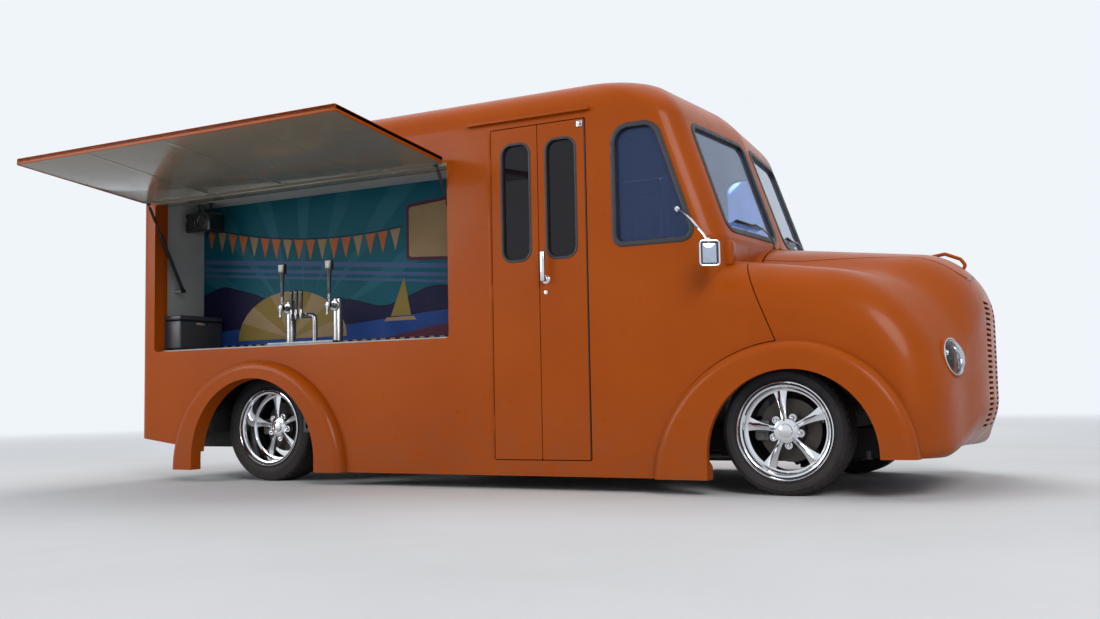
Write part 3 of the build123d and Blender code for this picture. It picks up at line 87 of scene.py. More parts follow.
def boxShape(low, high, soft=0.0, steps=2):
    bm = bmesh.new()
    low, high = Vector(low), Vector(high)
    size = Matrix.Diagonal((*(high - low), 1))
    bmesh.ops.create_cube(bm, size=1, matrix=shift((low + high) / 2) @ size)
    if soft:
        soften(bm, soft, steps)
    return bm


def tubeShape(start, end, radius, endRadius=None, count=24, soft=0.0):
    bm = bmesh.new()
    start, end = Vector(start), Vector(end)
    bmesh.ops.create_cone(bm, cap_ends=True, cap_tris=False, segments=count, radius1=radius,
                          radius2=radius if endRadius is None else endRadius, depth=(end - start).length,
                          matrix=shift((start + end) / 2) @ turnTo(end - start))
    if soft:
        soften(bm, soft, 2, 50)
    return bm


def ballShape(middle, radius, scale=(1, 1, 1), count=20):
    bm = bmesh.new()
    bmesh.ops.create_uvsphere(bm, u_segments=count, v_segments=count // 2, radius=radius,
                              matrix=shift(middle) @ Matrix.Diagonal((*scale, 1)))
    return bm


def turnedShape(profile, place=None, steps=48):
    # spins (radius, along) points about Z, and closes a profile that starts away from it
    bm = bmesh.new()
    verts = [bm.verts.new((r, 0, z)) for r, z in profile]
    pairs = list(zip(verts, verts[1:])) + [(verts[-1], verts[0])] * (profile[0][0] > 0)
    edges = [bm.edges.new(pair) for pair in pairs]
    bmesh.ops.spin(bm, geom=verts + edges, cent=(0, 0, 0), axis=(0, 0, 1), dvec=(0, 0, 0),
                   angle=math.tau, steps=steps, use_merge=True, use_normal_flip=False, use_duplicate=False)
    bmesh.ops.remove_doubles(bm, verts=bm.verts, dist=1e-6)
    bmesh.ops.recalc_face_normals(bm, faces=bm.faces)
    return moved(bm, place)


def oblong(across, up):
    # a rectangle's corners from its two spans
    (near, far), (low, high) = across, up
    return ((near, low), (far, low), (far, high), (near, high))


def grownOutline(points, by):
    # the outline moved outwards, corners mitred
    grown = []
    for index in range(len(points)):
        a, b, c = (Vector(points[(index + k) % len(points)]) for k in (-1, 0, 1))
        first, second = (b - a).normalized(), (c - b).normalized()
        first, second = Vector((first.y, -first.x)), Vector((second.y, -second.x))
        grown.append(tuple(b + (first + second) / (1 + first.dot(second)) * by))
    return grown


def outlineFace(points, radii):
    # a flat face in X and Y with rounded corners
    radii = radii if isinstance(radii, (list, tuple)) else [radii] * len(points)
    bm = bmesh.new()
    verts = [bm.verts.new((x, y, 0)) for x, y in points]
    bm.faces.new(verts)
    for index, (vert, radius) in enumerate(zip(verts, radii)):
        if radius:
            here = Vector(points[index])
            a = (Vector(points[index - 1]) - here).angle(Vector(points[(index + 1) % len(points)]) - here)
            bmesh.ops.bevel(bm, geom=[vert], offset=radius / math.tan(a / 2), offset_type="OFFSET",
                            affect="VERTICES", segments=8, profile=0.5, material=-1)
    return bm


def raised(bm, height, place, soft):
    # gives a flat shape its thickness
    made = bmesh.ops.extrude_face_region(bm, geom=list(bm.faces), use_keep_orig=True)
    top = [v for v in made["geom"] if isinstance(v, bmesh.types.BMVert)]
    bmesh.ops.translate(bm, verts=top, vec=(0, 0, height))
    bmesh.ops.recalc_face_normals(bm, faces=bm.faces)
    if soft:
        soften(bm, soft, 2, 50)
    return moved(bm, place)


def plateShape(points, radii, height, place=None, soft=0.0):
    return raised(outlineFace(points, radii), height, place, soft)


def ringShape(points, radii, width, height, place=None, soft=0.0):
    # a band inside an outline
    bm = outlineFace(points, radii)
    face = bm.faces[:]
    bmesh.ops.inset_region(bm, faces=face, thickness=width, depth=0, use_even_offset=True, use_boundary=True)
    bmesh.ops.delete(bm, geom=face, context="FACES")
    return raised(bm, height, place, soft)


def evaluatedMesh(obj):
    bpy.context.view_layer.update()
    return bpy.data.meshes.new_from_object(obj.evaluated_get(bpy.context.evaluated_depsgraph_get()))


def bentShape(points, radius):
    # a round bar on a smooth curve through points
    curve = bpy.data.curves.new("bent", "CURVE")
    curve.dimensions = "3D"
    curve.bevel_depth = radius
    curve.bevel_resolution = 3
    curve.use_fill_caps = True
    curve.resolution_u = 10
    spline = curve.splines.new("NURBS")
    spline.points.add(len(points) - 1)
    for point, place in zip(spline.points, points):
        point.co = (*place, 1)
    spline.order_u = 3
    spline.use_endpoint_u = True
    holder = bpy.data.objects.new("bent", curve)
    scene.collection.objects.link(holder)
    mesh = evaluatedMesh(holder)
    bm = bmesh.new()
    bm.from_mesh(mesh)
    bmesh.ops.remove_doubles(bm, verts=bm.verts, dist=1e-6)
    bpy.data.objects.remove(holder)
    bpy.data.curves.remove(curve)
    bpy.data.meshes.remove(mesh)
    return bm


def piece(name, shapes, body="truck", sharpAngle=35):
    # shapes is a dictionary of look and bmeshes
    whole = bmesh.new()
    for number, parts in enumerate(shapes.values()):
        for part in parts:
            bmesh.ops.recalc_face_normals(part, faces=part.faces)
            for face in part.faces:
                face.material_index = number
                face.smooth = True
            holder = bpy.data.meshes.new("part")
            part.to_mesh(holder)
            part.free()
            whole.from_mesh(holder)
            bpy.data.meshes.remove(holder)
    mesh = bpy.data.meshes.new(name)
    whole.to_mesh(mesh)
    whole.free()
    mesh.set_sharp_from_angle(angle=math.radians(sharpAngle))
    obj = bpy.data.objects.new(name, mesh)
    scene.collection.objects.link(obj)
    for look in shapes:
        mesh.materials.append(finish[look])
    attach(obj, body)
    return obj


def newNode(tree, kind, **values):
    node = tree.nodes.new("ShaderNode" + kind)
    for key, value in values.items():
        if hasattr(node, key):
            setattr(node, key, value)
        else:
            node.inputs[key].default_value = value
    return node


def objectPlace(tree):
    return newNode(tree, "TexCoord").outputs["Object"]


def partsOf(tree, vector):
    # the X, Y and Z sockets of a vector
    node = newNode(tree, "SeparateXYZ")
    tree.links.new(vector, node.inputs[0])
    return node.outputs


def noiseOf(tree, where, scale, detail=4.0, stretch=None):
    if stretch:
        mapping = newNode(tree, "Mapping", Scale=stretch)
        tree.links.new(where, mapping.inputs["Vector"])
        where = mapping.outputs["Vector"]
    node = newNode(tree, "TexNoise", Scale=scale, Detail=detail)
    tree.links.new(where, node.inputs["Vector"])
    return node.outputs["Fac"]


def ranged(tree, value, low, high, outLow=0.0, outHigh=1.0):
    node = newNode(tree, "MapRange")
    for key, number in (("From Min", low), ("From Max", high), ("To Min", outLow), ("To Max", outHigh)):
        node.inputs[key].default_value = number
    tree.links.new(value, node.inputs["Value"])
    return node.outputs["Result"]


def maths(tree, operation, a, b=0.0):
    node = newNode(tree, "Math", operation=operation)
    for socket, value in zip(node.inputs, (a, b)):
        if isinstance(value, (int, float)):
            socket.default_value = value
        else:
            tree.links.new(value, socket)
    return node.outputs["Value"]


def mixed(tree, factor, a, b):
    node = newNode(tree, "Mix", data_type="RGBA")
    tree.links.new(factor, node.inputs[0])
    for socket, value in ((node.inputs[6], a), (node.inputs[7], b)):
        if isinstance(value, tuple):
            socket.default_value = (*value, 1)
        else:
            tree.links.new(value, socket)
    return node.outputs[2]


def bumpOn(tree, shader, height, strength, deep):
    bump = newNode(tree, "Bump", Strength=strength, Distance=deep)
    tree.links.new(height, bump.inputs["Height"])
    tree.links.new(bump.outputs["Normal"], shader.inputs["Normal"])


def newMaterial(name):
    material = bpy.data.materials.new(name)
    material.use_nodes = True
    tree = material.node_tree
    return material, tree, tree.nodes["Principled BSDF"], objectPlace(tree)


dirt = {"dust": (0.42, 0.37, 0.31), "grime": (0.12, 0.085, 0.06), "grimeZ": (0.05, 0.55)}
# Shader socket, the look's key for it, and its plain value
plainSockets = (("Metallic", "metal", 0.0), ("Coat Weight", "coat", 0.0),
                ("Coat Roughness", "coatRough", 0.05), ("Transmission Weight", "clear", 0.0),
                ("Specular IOR Level", "specular", 0.5), ("IOR", "ior", 1.5))


def surface(name, look):
    # one finish: colour patches, roughness, grain, dust on what faces up and grime low down
    material, tree, shader, where = newMaterial(name)
    patches = ranged(tree, noiseOf(tree, where, look.get("patch", 3.0), 6.0), 0.3, 0.7)
    colour = mixed(tree, patches, look["colour"], look["second"])
    fine = noiseOf(tree, where, look.get("fine", 40.0), 8.0, look.get("stretch"))
    if "dust" in look:
        lying = ranged(tree, partsOf(tree, newNode(tree, "NewGeometry").outputs["Normal"])["Z"], 0.3, 1.0)
        lying = maths(tree, "MULTIPLY", lying, ranged(tree, fine, 0.35, 0.75, 0.0, look["dust"]))
        colour = mixed(tree, lying, colour, dirt["dust"])
    if "grime" in look:
        low = ranged(tree, partsOf(tree, where)["Z"], *dirt["grimeZ"], 1.0, 0.0)
        low = maths(tree, "MULTIPLY", low, ranged(tree, fine, 0.3, 0.8, 0.0, look["grime"]))
        colour = mixed(tree, low, colour, dirt["grime"])
    if "worn" in look:
        spots = ranged(tree, noiseOf(tree, where, look.get("wornScale", 18.0), 10.0), 0.62, 0.72)
        colour = mixed(tree, spots, colour, look["worn"])
    tree.links.new(colour, shader.inputs["Base Color"])
    tree.links.new(ranged(tree, fine, 0.3, 0.7, *look["rough"]), shader.inputs["Roughness"])
    grain = noiseOf(tree, where, look.get("grain", 300.0), 3.0, look.get("stretch"))
    bumpOn(tree, shader, grain, look.get("bump", 0.1), look.get("deep", 0.0005))
    for socket, key, plain in plainSockets:
        shader.inputs[socket].default_value = look.get(key, plain)
    return material


def lookOf(colour, second, rough, **rest):
    return {"colour": colour, "second": second, "rough": rough, **rest}


def muralLook(colour, second, patch):
    # sign paint on a panel, brushed up and down
    return lookOf(colour, second, (0.45, 0.62), specular=0.12, patch=patch, fine=26.0, grain=150.0,
                  stretch=(1.0, 1.0, 5.0), bump=0.12)


looks = {
    "paintOrange": lookOf((0.315, 0.054, 0.0008), (0.35, 0.064, 0.0014), (0.26, 0.38), patch=2.0, fine=9.0,
                          coat=0.08, coatRough=0.1, specular=0.1, grain=260.0, bump=0.03, dust=0.03,
                          grime=0.3),
    "paintInner": lookOf((0.44, 0.44, 0.42), (0.38, 0.38, 0.365), (0.4, 0.6), specular=0.2, grain=180.0,
                         bump=0.08, worn=(0.38, 0.36, 0.33), wornScale=7.0),
    "awningSkin": lookOf((0.185, 0.172, 0.13), (0.22, 0.2, 0.155), (0.14, 0.28), patch=1.2, fine=5.0,
                         coat=0.3, specular=0.3, grain=120.0, bump=0.05),
    "paintBlack": lookOf((0.012, 0.012, 0.014), (0.02, 0.019, 0.019), (0.42, 0.7), specular=0.25,
                         grain=140.0, bump=0.15, dust=0.2, worn=(0.04, 0.028, 0.02)),
    "castGrey": lookOf((0.12, 0.115, 0.11), (0.18, 0.17, 0.16), (0.5, 0.75), metal=0.6, grain=420.0,
                       bump=0.35, deep=0.001, worn=(0.15, 0.075, 0.035)),
    "pipeSteel": lookOf((0.28, 0.26, 0.24), (0.2, 0.17, 0.15), (0.35, 0.6), metal=0.9, grain=200.0,
                        bump=0.15, worn=(0.2, 0.08, 0.03), wornScale=12.0),
    "discSteel": lookOf((0.085, 0.075, 0.068), (0.055, 0.048, 0.044), (0.4, 0.6), metal=0.8, grain=200.0,
                        bump=0.15, worn=(0.07, 0.035, 0.02), wornScale=12.0),
    # the rim's inner barrel is painted near black: painted shade inside the wheel, not the colour of its
    # metal
    "barrelPaintedShade": lookOf((0.06, 0.06, 0.065), (0.04, 0.04, 0.043), (0.35, 0.5), metal=0.9, grain=200.0,
                         bump=0.1),
    "polished": lookOf((0.74, 0.75, 0.77), (0.66, 0.67, 0.7), (0.06, 0.15), patch=14.0, fine=60.0,
                       metal=1.0, grain=500.0, bump=0.02),
    "brushed": lookOf((0.55, 0.55, 0.55), (0.47, 0.47, 0.48), (0.24, 0.42), patch=6.0, fine=30.0, metal=1.0,
                      grain=60.0, stretch=(1.0, 12.0, 12.0), bump=0.05),
    "counterSteel": lookOf((0.24, 0.24, 0.245), (0.19, 0.19, 0.2), (0.38, 0.58), patch=6.0, fine=30.0,
                           metal=0.95, grain=60.0, stretch=(1.0, 12.0, 12.0), bump=0.06),
    "steelTap": lookOf((0.36, 0.36, 0.365), (0.29, 0.29, 0.3), (0.22, 0.36), patch=9.0, fine=25.0,
                       metal=1.0, grain=50.0, stretch=(14.0, 14.0, 1.0), bump=0.04),
    "tyreRubber": lookOf((0.012, 0.012, 0.015), (0.022, 0.021, 0.023), (0.55, 0.82), patch=9.0,
                         specular=0.25, grain=900.0, bump=0.25, grime=0.28),
    "gasketRubber": lookOf((0.01, 0.01, 0.013), (0.02, 0.02, 0.023), (0.38, 0.6), patch=20.0, grain=600.0,
                           bump=0.12, dust=0.15),
    "handleBlack": lookOf((0.008, 0.008, 0.009), (0.014, 0.013, 0.014), (0.12, 0.25), patch=30.0, coat=0.7,
                          grain=400.0, bump=0.03),
    "speakerCloth": lookOf((0.012, 0.012, 0.013), (0.022, 0.022, 0.023), (0.8, 0.95), patch=60.0,
                           grain=900.0, bump=0.6, deep=0.001),
    "badgeFace": lookOf((0.55, 0.53, 0.48), (0.45, 0.43, 0.39), (0.3, 0.45), patch=60.0, bump=0.05),
    "seatVinyl": lookOf((0.045, 0.04, 0.038), (0.065, 0.058, 0.053), (0.42, 0.6), patch=8.0, grain=420.0,
                        bump=0.5, deep=0.0008, dust=0.12),
    "rubberMat": lookOf((0.02, 0.02, 0.021), (0.035, 0.033, 0.03), (0.6, 0.85), grain=250.0, bump=0.3,
                        dust=0.35),
    "dialFace": lookOf((0.6, 0.58, 0.5), (0.52, 0.5, 0.43), (0.3, 0.4), patch=50.0, bump=0.03),
    "lampRed": lookOf((0.42, 0.008, 0.006), (0.32, 0.005, 0.004), (0.08, 0.16), patch=40.0, coat=1.0,
                      grain=120.0, bump=0.12, clear=0.25),
    "radiatorCore": lookOf((0.02, 0.02, 0.02), (0.04, 0.038, 0.035), (0.5, 0.7), metal=0.4, grain=220.0,
                           stretch=(1.0, 1.0, 5.0), bump=0.8, deep=0.003),
    "muralSky": muralLook((0.002, 0.07, 0.098), (0.005, 0.09, 0.122), 1.6),
    "muralRay": muralLook((0.012, 0.098, 0.13), (0.018, 0.115, 0.15), 3.0),
    "muralBand": muralLook((0.05, 0.085, 0.19), (0.06, 0.1, 0.21), 4.0),
    "muralNavy": muralLook((0.006, 0.006, 0.03), (0.01, 0.01, 0.042), 5.0),
    "muralBlue": muralLook((0.012, 0.045, 0.19), (0.018, 0.058, 0.22), 5.0),
    "muralYellow": muralLook((0.19, 0.135, 0.03), (0.23, 0.165, 0.04), 4.0),
    "muralCream": muralLook((0.26, 0.175, 0.085), (0.31, 0.21, 0.11), 6.0),
    "muralOrange": muralLook((0.36, 0.095, 0.03), (0.42, 0.125, 0.04), 9.0),
    "muralWine": muralLook((0.065, 0.014, 0.03), (0.08, 0.02, 0.04), 6.0),
    "boxGrey": lookOf((0.03, 0.032, 0.04), (0.042, 0.043, 0.052), (0.35, 0.5), patch=9.0, bump=0.1),
    "plateBlank": lookOf((0.62, 0.62, 0.6), (0.54, 0.54, 0.52), (0.3, 0.45), patch=12.0, grain=200.0,
                         bump=0.05),
    "mirrorGlass": lookOf((0.48, 0.53, 0.63), (0.44, 0.49, 0.59), (0.0, 0.03), patch=30.0, metal=1.0,
                          grain=20.0, bump=0.01),
    "treadPlate": lookOf((0.34, 0.34, 0.35), (0.27, 0.27, 0.28), (0.3, 0.5), metal=0.9, dust=0.3,
                         worn=(0.2, 0.19, 0.18)),
}
finish = {name: surface(name, look) for name, look in looks.items()}
glassLooks = {
    "glassCab": {"tint": (0.44, 0.62, 0.94), "sideTint": (0.26, 0.36, 0.66), "clear": 0.94,
                 "shine": (0.45, 0.6, 1.0)},
    "glassDark": {"tint": (0.01, 0.008, 0.012), "clear": 0.25, "rough": 0.02, "specular": 0.3},
    "lensGlass": {"tint": (0.9, 0.94, 1.0), "clear": 1.0},
}
sidePaneY = 0.8  # panes further out than this take the side tint


def glassSurface(name, look):
    # glass with a faint film of dust, its tint in patches, and another tint for the side panes
    material, tree, shader, where = newMaterial(name)
    film = noiseOf(tree, where, 5.0, 6.0)
    darker = tuple(0.88 * value for value in look["tint"])
    colour = mixed(tree, ranged(tree, film, 0.35, 0.65), look["tint"], darker)
    if "sideTint" in look:
        atSide = maths(tree, "GREATER_THAN", maths(tree, "ABSOLUTE", partsOf(tree, where)["Y"]), sidePaneY)
        colour = mixed(tree, atSide, colour, look["sideTint"])
    tree.links.new(colour, shader.inputs["Base Color"])
    rough = look.get("rough", 0.0)
    tree.links.new(ranged(tree, film, 0.3, 0.8, rough, rough + 0.05), shader.inputs["Roughness"])
    bumpOn(tree, shader, noiseOf(tree, where, 3.0, 2.0), 0.02, 0.001)
    shader.inputs["Transmission Weight"].default_value = look["clear"]
    shader.inputs["IOR"].default_value = 1.45
    shader.inputs["Specular IOR Level"].default_value = look.get("specular", 0.5)
    shader.inputs["Specular Tint"].default_value = (*look.get("shine", (1, 1, 1)), 1)
    return material


for name, look in glassLooks.items():
    finish[name] = glassSurface(name, look)

tread = {"lozenge": 9.0, "strength": 0.6, "deep": 0.002, "black": (0.012, 0.012, 0.013), "axleX": 1.619,
         "reach": 0.46, "inner": 0.38, "underZ": 0.305}


def markTread(tree):
    # raised lozenges on the floor sheet, and black below it and on the wheel houses
    where, shader = objectPlace(tree), tree.nodes["Principled BSDF"]
    waves = []
    for turn in (45, -45):
        mapping = newNode(tree, "Mapping", Rotation=(0, 0, math.radians(turn)))
        tree.links.new(where, mapping.inputs["Vector"])
        wave = newNode(tree, "TexWave", Scale=tread["lozenge"])
        tree.links.new(mapping.outputs["Vector"], wave.inputs["Vector"])
        waves.append(wave.outputs["Fac"])
    height = ranged(tree, maths(tree, "MULTIPLY", *waves), 0.45, 0.6)
    bumpOn(tree, shader, height, tread["strength"], tread["deep"])
    spot = partsOf(tree, where)
    along = maths(tree, "SUBTRACT", maths(tree, "ABSOLUTE", spot["X"]), tread["axleX"])
    nearAxle = maths(tree, "LESS_THAN", maths(tree, "ABSOLUTE", along), tread["reach"])
    outboard = maths(tree, "GREATER_THAN", maths(tree, "ABSOLUTE", spot["Y"]), tread["inner"])
    below = maths(tree, "LESS_THAN", spot["Z"], tread["underZ"])
    black = maths(tree, "MAXIMUM", below, maths(tree, "MULTIPLY", nearAxle, outboard))
    plain = shader.inputs["Base Color"].links[0].from_socket
    tree.links.new(mixed(tree, black, plain, tread["black"]), shader.inputs["Base Color"])
    tree.links.new(ranged(tree, black, 0.0, 1.0, 0.9, 0.0), shader.inputs["Metallic"])


markTread(finish["treadPlate"].node_tree)

# Which finish each CAD node takes
nodeFinish = {
    "paintOrange": ("side_right", "side_left", "roof", "rear_frame", "rear_door_right", "rear_door_left",
                    "cab_front", "front_clip", "hood", "grille", "door_right_rear", "door_right_front",
                    "door_left_rear", "door_left_front"),
    "paintInner": ("bay_lining",),
    "muralSky": ("mural_panel",),
    "counterSteel": ("counter",),
    "treadPlate": ("floor",),
    "glassCab": ("cab_glass",),
    "glassDark": ("door_glass_right_rear", "door_glass_right_front", "door_glass_left_rear",
                  "door_glass_left_front"),
    "paintBlack": ("chassis_frame", "front_axle", "strut_cylinder_rear", "strut_cylinder_front",
                   "strut_rod_rear", "strut_rod_front"),
    "castGrey": ("knuckle_right", "knuckle_left", "rear_axle", "engine"),
    "pipeSteel": ("driveshaft", "exhaust"),
}
for look, names in nodeFinish.items():
    for name in names:
        nodes[name].data.materials.clear()
        nodes[name].data.materials.append(finish[look])
print("finishes ready:", len(finish))

view = {"place": (3.0749, -5.9148, 0.497), "yaw": -0.4845, "pitch": 0.0763, "roll": -0.0193, "lens": 36.08}


def makeCamera():
    yaw, pitch, roll = view["yaw"], view["pitch"], view["roll"]
    ahead = Vector((math.sin(yaw) * math.cos(pitch), math.cos(yaw) * math.cos(pitch), math.sin(pitch)))
    right = Vector((math.cos(yaw), -math.sin(yaw), 0))
    up = right.cross(ahead)
    right, up = math.cos(roll) * right + math.sin(roll) * up, math.cos(roll) * up - math.sin(roll) * right
    camera = bpy.data.objects.new("camera", bpy.data.cameras.new("camera"))
    camera.data.lens = view["lens"]
    camera.data.sensor_width = 36.0
    camera.matrix_world = shift(view["place"]) @ Matrix((right, up, -ahead)).transposed().to_4x4()
    scene.collection.objects.link(camera)
    scene.camera = camera


makeCamera()

# Columns: name, place, looks at, size, watts, mirrored in gloss
lamps = (
    ("lampKey", (6.5, -7.5, 6.0), (0.3, 0.0, 0.9), 4.5, 520.0, True),
    ("lampFill", (-6.5, -7.0, 3.6), (-0.8, -0.9, 1.0), 5.0, 300.0, True),
    ("lampBack", (-3.0, 7.5, 5.0), (0.0, 0.0, 1.2), 5.0, 420.0, False),
    ("lampTop", (0.0, 0.5, 8.0), (0.0, 0.0, 0.0), 6.0, 260.0, False),
)
for name, place, aim, size, watts, mirrored in lamps:
    lamp = bpy.data.lights.new(name, "AREA")
    lamp.shape = "DISK"
    lamp.size = size
    lamp.energy = watts
    holder = bpy.data.objects.new(name, lamp)
    holder.location = place
    holder.visible_glossy = mirrored
    holder.rotation_mode = "QUATERNION"
    holder.rotation_quaternion = (Vector(aim) - Vector(place)).to_track_quat("-Z", "Y")
    scene.collection.objects.link(holder)

backdrop = {"colour": (0.87, 0.91, 0.96), "light": (0.62, 0.68, 0.8), "strength": 0.55, "fade": (4.5, 15.0),
            "floorHalf": 60}


def seenRays(tree):
    # 1 for the rays that see the background: camera, glossy and through glass
    path = newNode(tree, "LightPath")
    mirrored = maths(tree, "MAXIMUM", path.outputs["Is Glossy Ray"], path.outputs["Is Transmission Ray"])
    return maths(tree, "MAXIMUM", path.outputs["Is Camera Ray"], mirrored)


def makeWorld():
    world = bpy.data.worlds.new("studio")
    scene.world = world
    world.use_nodes = True
    tree = world.node_tree
    back = tree.nodes["Background"]
    seen = seenRays(tree)
    tree.links.new(mixed(tree, seen, backdrop["light"], backdrop["colour"]), back.inputs["Color"])
    tree.links.new(ranged(tree, seen, 0.0, 1.0, backdrop["strength"], 1.0), back.inputs["Strength"])


def makeFloor():
    bm = bmesh.new()
    bmesh.ops.create_grid(bm, x_segments=8, y_segments=8, size=backdrop["floorHalf"])
    mesh = bpy.data.meshes.new("floorGround")
    bm.to_mesh(mesh)
    bm.free()
    ground = bpy.data.objects.new("floorGround", mesh)
    scene.collection.objects.link(ground)
    pale = surface("groundPale", lookOf((0.62, 0.62, 0.61), (0.58, 0.58, 0.57), (0.6, 0.8), patch=0.8,
                                        fine=6.0, specular=0.2, grain=40.0, bump=0.05))
    mesh.materials.append(pale)
    # far out, the floor passes into the backdrop's colour
    tree = pale.node_tree
    away = newNode(tree, "VectorMath", operation="LENGTH")
    tree.links.new(objectPlace(tree), away.inputs[0])
    far = ranged(tree, away.outputs["Value"], *backdrop["fade"])
    glow = newNode(tree, "Emission", Strength=1.0, Color=(*backdrop["colour"], 1))
    blend = newNode(tree, "MixShader")
    tree.links.new(maths(tree, "MULTIPLY", far, seenRays(tree)), blend.inputs[0])
    tree.links.new(tree.nodes["Principled BSDF"].outputs[0], blend.inputs[1])
    tree.links.new(glow.outputs[0], blend.inputs[2])
    tree.links.new(blend.outputs[0], tree.nodes["Material Output"].inputs["Surface"])
    ground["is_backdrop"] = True


makeWorld()
scene.view_settings.view_transform = "Standard"
makeFloor()
print("camera, lamps and floor ready")


def allMoved(parts, place):
    return [moved(part, place) for part in parts]


def offset(radius, along, *points):
    # profile points measured from a radius and a place along
    return [(radius + r, along + z) for r, z in points]


def sideFrame(side, y):
    # local X and Y are the side view's X and Z, and local Z points outwards
    return Matrix(((1, 0, 0, 0), (0, 0, side, side * y), (0, 1, 0, 0), (0, 0, 0, 1)))


def flankBox(side, x, out, z, soft):
    # a box on one flank, its reach outwards given as |y|
    near, far = sorted((side * out[0], side * out[1]))
    return boxShape((x[0], near, z[0]), (x[1], far, z[1]), soft, 3)


def flankTube(side, x, out, z, radius, endRadius, count=24, soft=0.0015):
    # a round boss that stands out from one flank
    return tubeShape((x, side * out[0], z), (x, side * out[1], z), radius, endRadius, count, soft)


wheelLook = {"seat": 0.2165, "lip": 0.2335, "steps": 72, "ring": 0.186, "hub": 0.06, "spokes": 5,
             "nutCircle": 0.069, "capR": 0.033, "discR": 0.15, "discT": 0.022, "grooveDeep": 0.006,
             "treadSteps": 144, "slot": (0.0026, -0.0045), "ribs": 0.72, "middle": (0.28, 0.6), "turned": 8}
axles = {"front": {"x": 1.61925, "y": 0.725, "radius": 0.302, "width": 0.215, "dish": 0.028, "disc": -0.016},
         "rear": {"x": -1.61925, "y": 0.612, "radius": 0.325, "width": 0.245, "dish": 0.085, "disc": -0.05}}


def tyreShape(radius, width):
    half, steps, deep = width / 2, wheelLook["treadSteps"], wheelLook["grooveDeep"]
    front = offset(0, half, (wheelLook["seat"], -0.014), (0.236, -0.0125), (0.2395, -0.007), (0.243, -0.0045),
                   (0.2455, -0.0065), (0.252, -0.0025), (0.262, -0.0005), (0.272, -0.001), (0.2735, 0.0004),
                   (0.277, 0.0002), (0.2785, -0.0016))
    front += offset(radius, half, (-0.0155, -0.0065), (-0.008, -0.0125), (-0.003, -0.02), (-0.001, -0.028))
    for groove in (0.66, 0.23):
        front += offset(radius, half * groove, (0, 0.005), (-deep, 0.0035), (-deep, -0.0035), (0, -0.005))
    bm = turnedShape(front + [(r, -y) for r, y in reversed(front)], steps=steps)
    # shallow slots across the shoulder ribs and, half as many, the middle ribs
    slots = []
    for face in bm.faces:
        middle = face.calc_center_median()
        away = math.hypot(middle.x, middle.y)
        step = int((math.atan2(middle.y, middle.x) % math.tau) / math.tau * steps)
        share = abs(middle.z) / half
        rib = share > wheelLook["ribs"] and away > radius - 0.006
        inner = wheelLook["middle"][0] < share < wheelLook["middle"][1] and away > radius - 0.002
        if (rib and step % 3 == 0) or (inner and step % 6 == 2):
            slots.append(face)
    wide, sunk = wheelLook["slot"]
    bmesh.ops.inset_individual(bm, faces=slots, thickness=wide, depth=sunk, use_even_offset=True)
    return bm


def lipShape(half, face):
    seat, lip, ring = wheelLook["seat"], wheelLook["lip"], wheelLook["ring"]
    profile = offset(0, half, (seat, -0.012), (0.2325, -0.0075))
    profile += offset(lip, half, (0, -0.003), (-0.0015, 0), (-0.006, 0.001), (-0.0085, -0.002),
                      (-0.01, -0.007), (-0.015, -0.0125), (-0.022, -0.0165), (-0.0255, -0.017),
                      (-0.0275, -0.021), (-0.0295, -0.032))
    profile += offset(lip, face, (-0.032, -0.016))
    profile += offset(ring, face, (0.01, -0.021), (0.002, -0.023), (0, -0.027), (0.003, -0.044))
    return turnedShape(profile + [(seat, face - 0.044)], steps=wheelLook["steps"])


def barrelShape(half, face):
    seat, lip, ring = wheelLook["seat"], wheelLook["lip"], wheelLook["ring"]
    profile = offset(ring + 0.0035, face, (0, -0.038), (0, -0.05)) + [(0.198, face - 0.06)]
    profile += offset(0, -half, (0.199, 0.01), (lip - 0.006, 0), (lip, 0), (lip, 0.004), (seat, 0.01))
    return turnedShape(profile + [(seat, face - 0.038)], steps=wheelLook["steps"])


def spokeShape(face):
    # sections from hub to ring: distance out, half width, ridge, edge and back heights
    table = ((0.045, 0.0145, 0.002, -0.006, -0.034), (0.07, 0.0125, 0.0005, -0.009, -0.034),
             (0.1, 0.014, -0.004, -0.014, -0.04), (0.135, 0.019, -0.01, -0.02, -0.046),
             (0.165, 0.0265, -0.015, -0.0235, -0.051), (0.191, 0.0345, -0.019, -0.0245, -0.055))
    bm = bmesh.new()
    loops = []
    for out, wide, ridge, edge, back in table:
        flank = edge + (ridge - edge) * 0.3
        points = ((-wide, edge), (-wide * 0.42, flank), (0, ridge), (wide * 0.42, flank), (wide, edge),
                  (wide * 0.8, back), (0, back), (-wide * 0.8, back))
        verts = [bm.verts.new((x, out, face + z)) for x, z in points]
        loops.append([bm.edges.new(pair) for pair in zip(verts, verts[1:] + verts[:1])])
        if len(loops) in (1, len(table)):
            bm.faces.new(verts)
    for first, second in zip(loops, loops[1:]):
        bmesh.ops.bridge_loops(bm, edges=first + second)
    bmesh.ops.recalc_face_normals(bm, faces=bm.faces)
    return bm


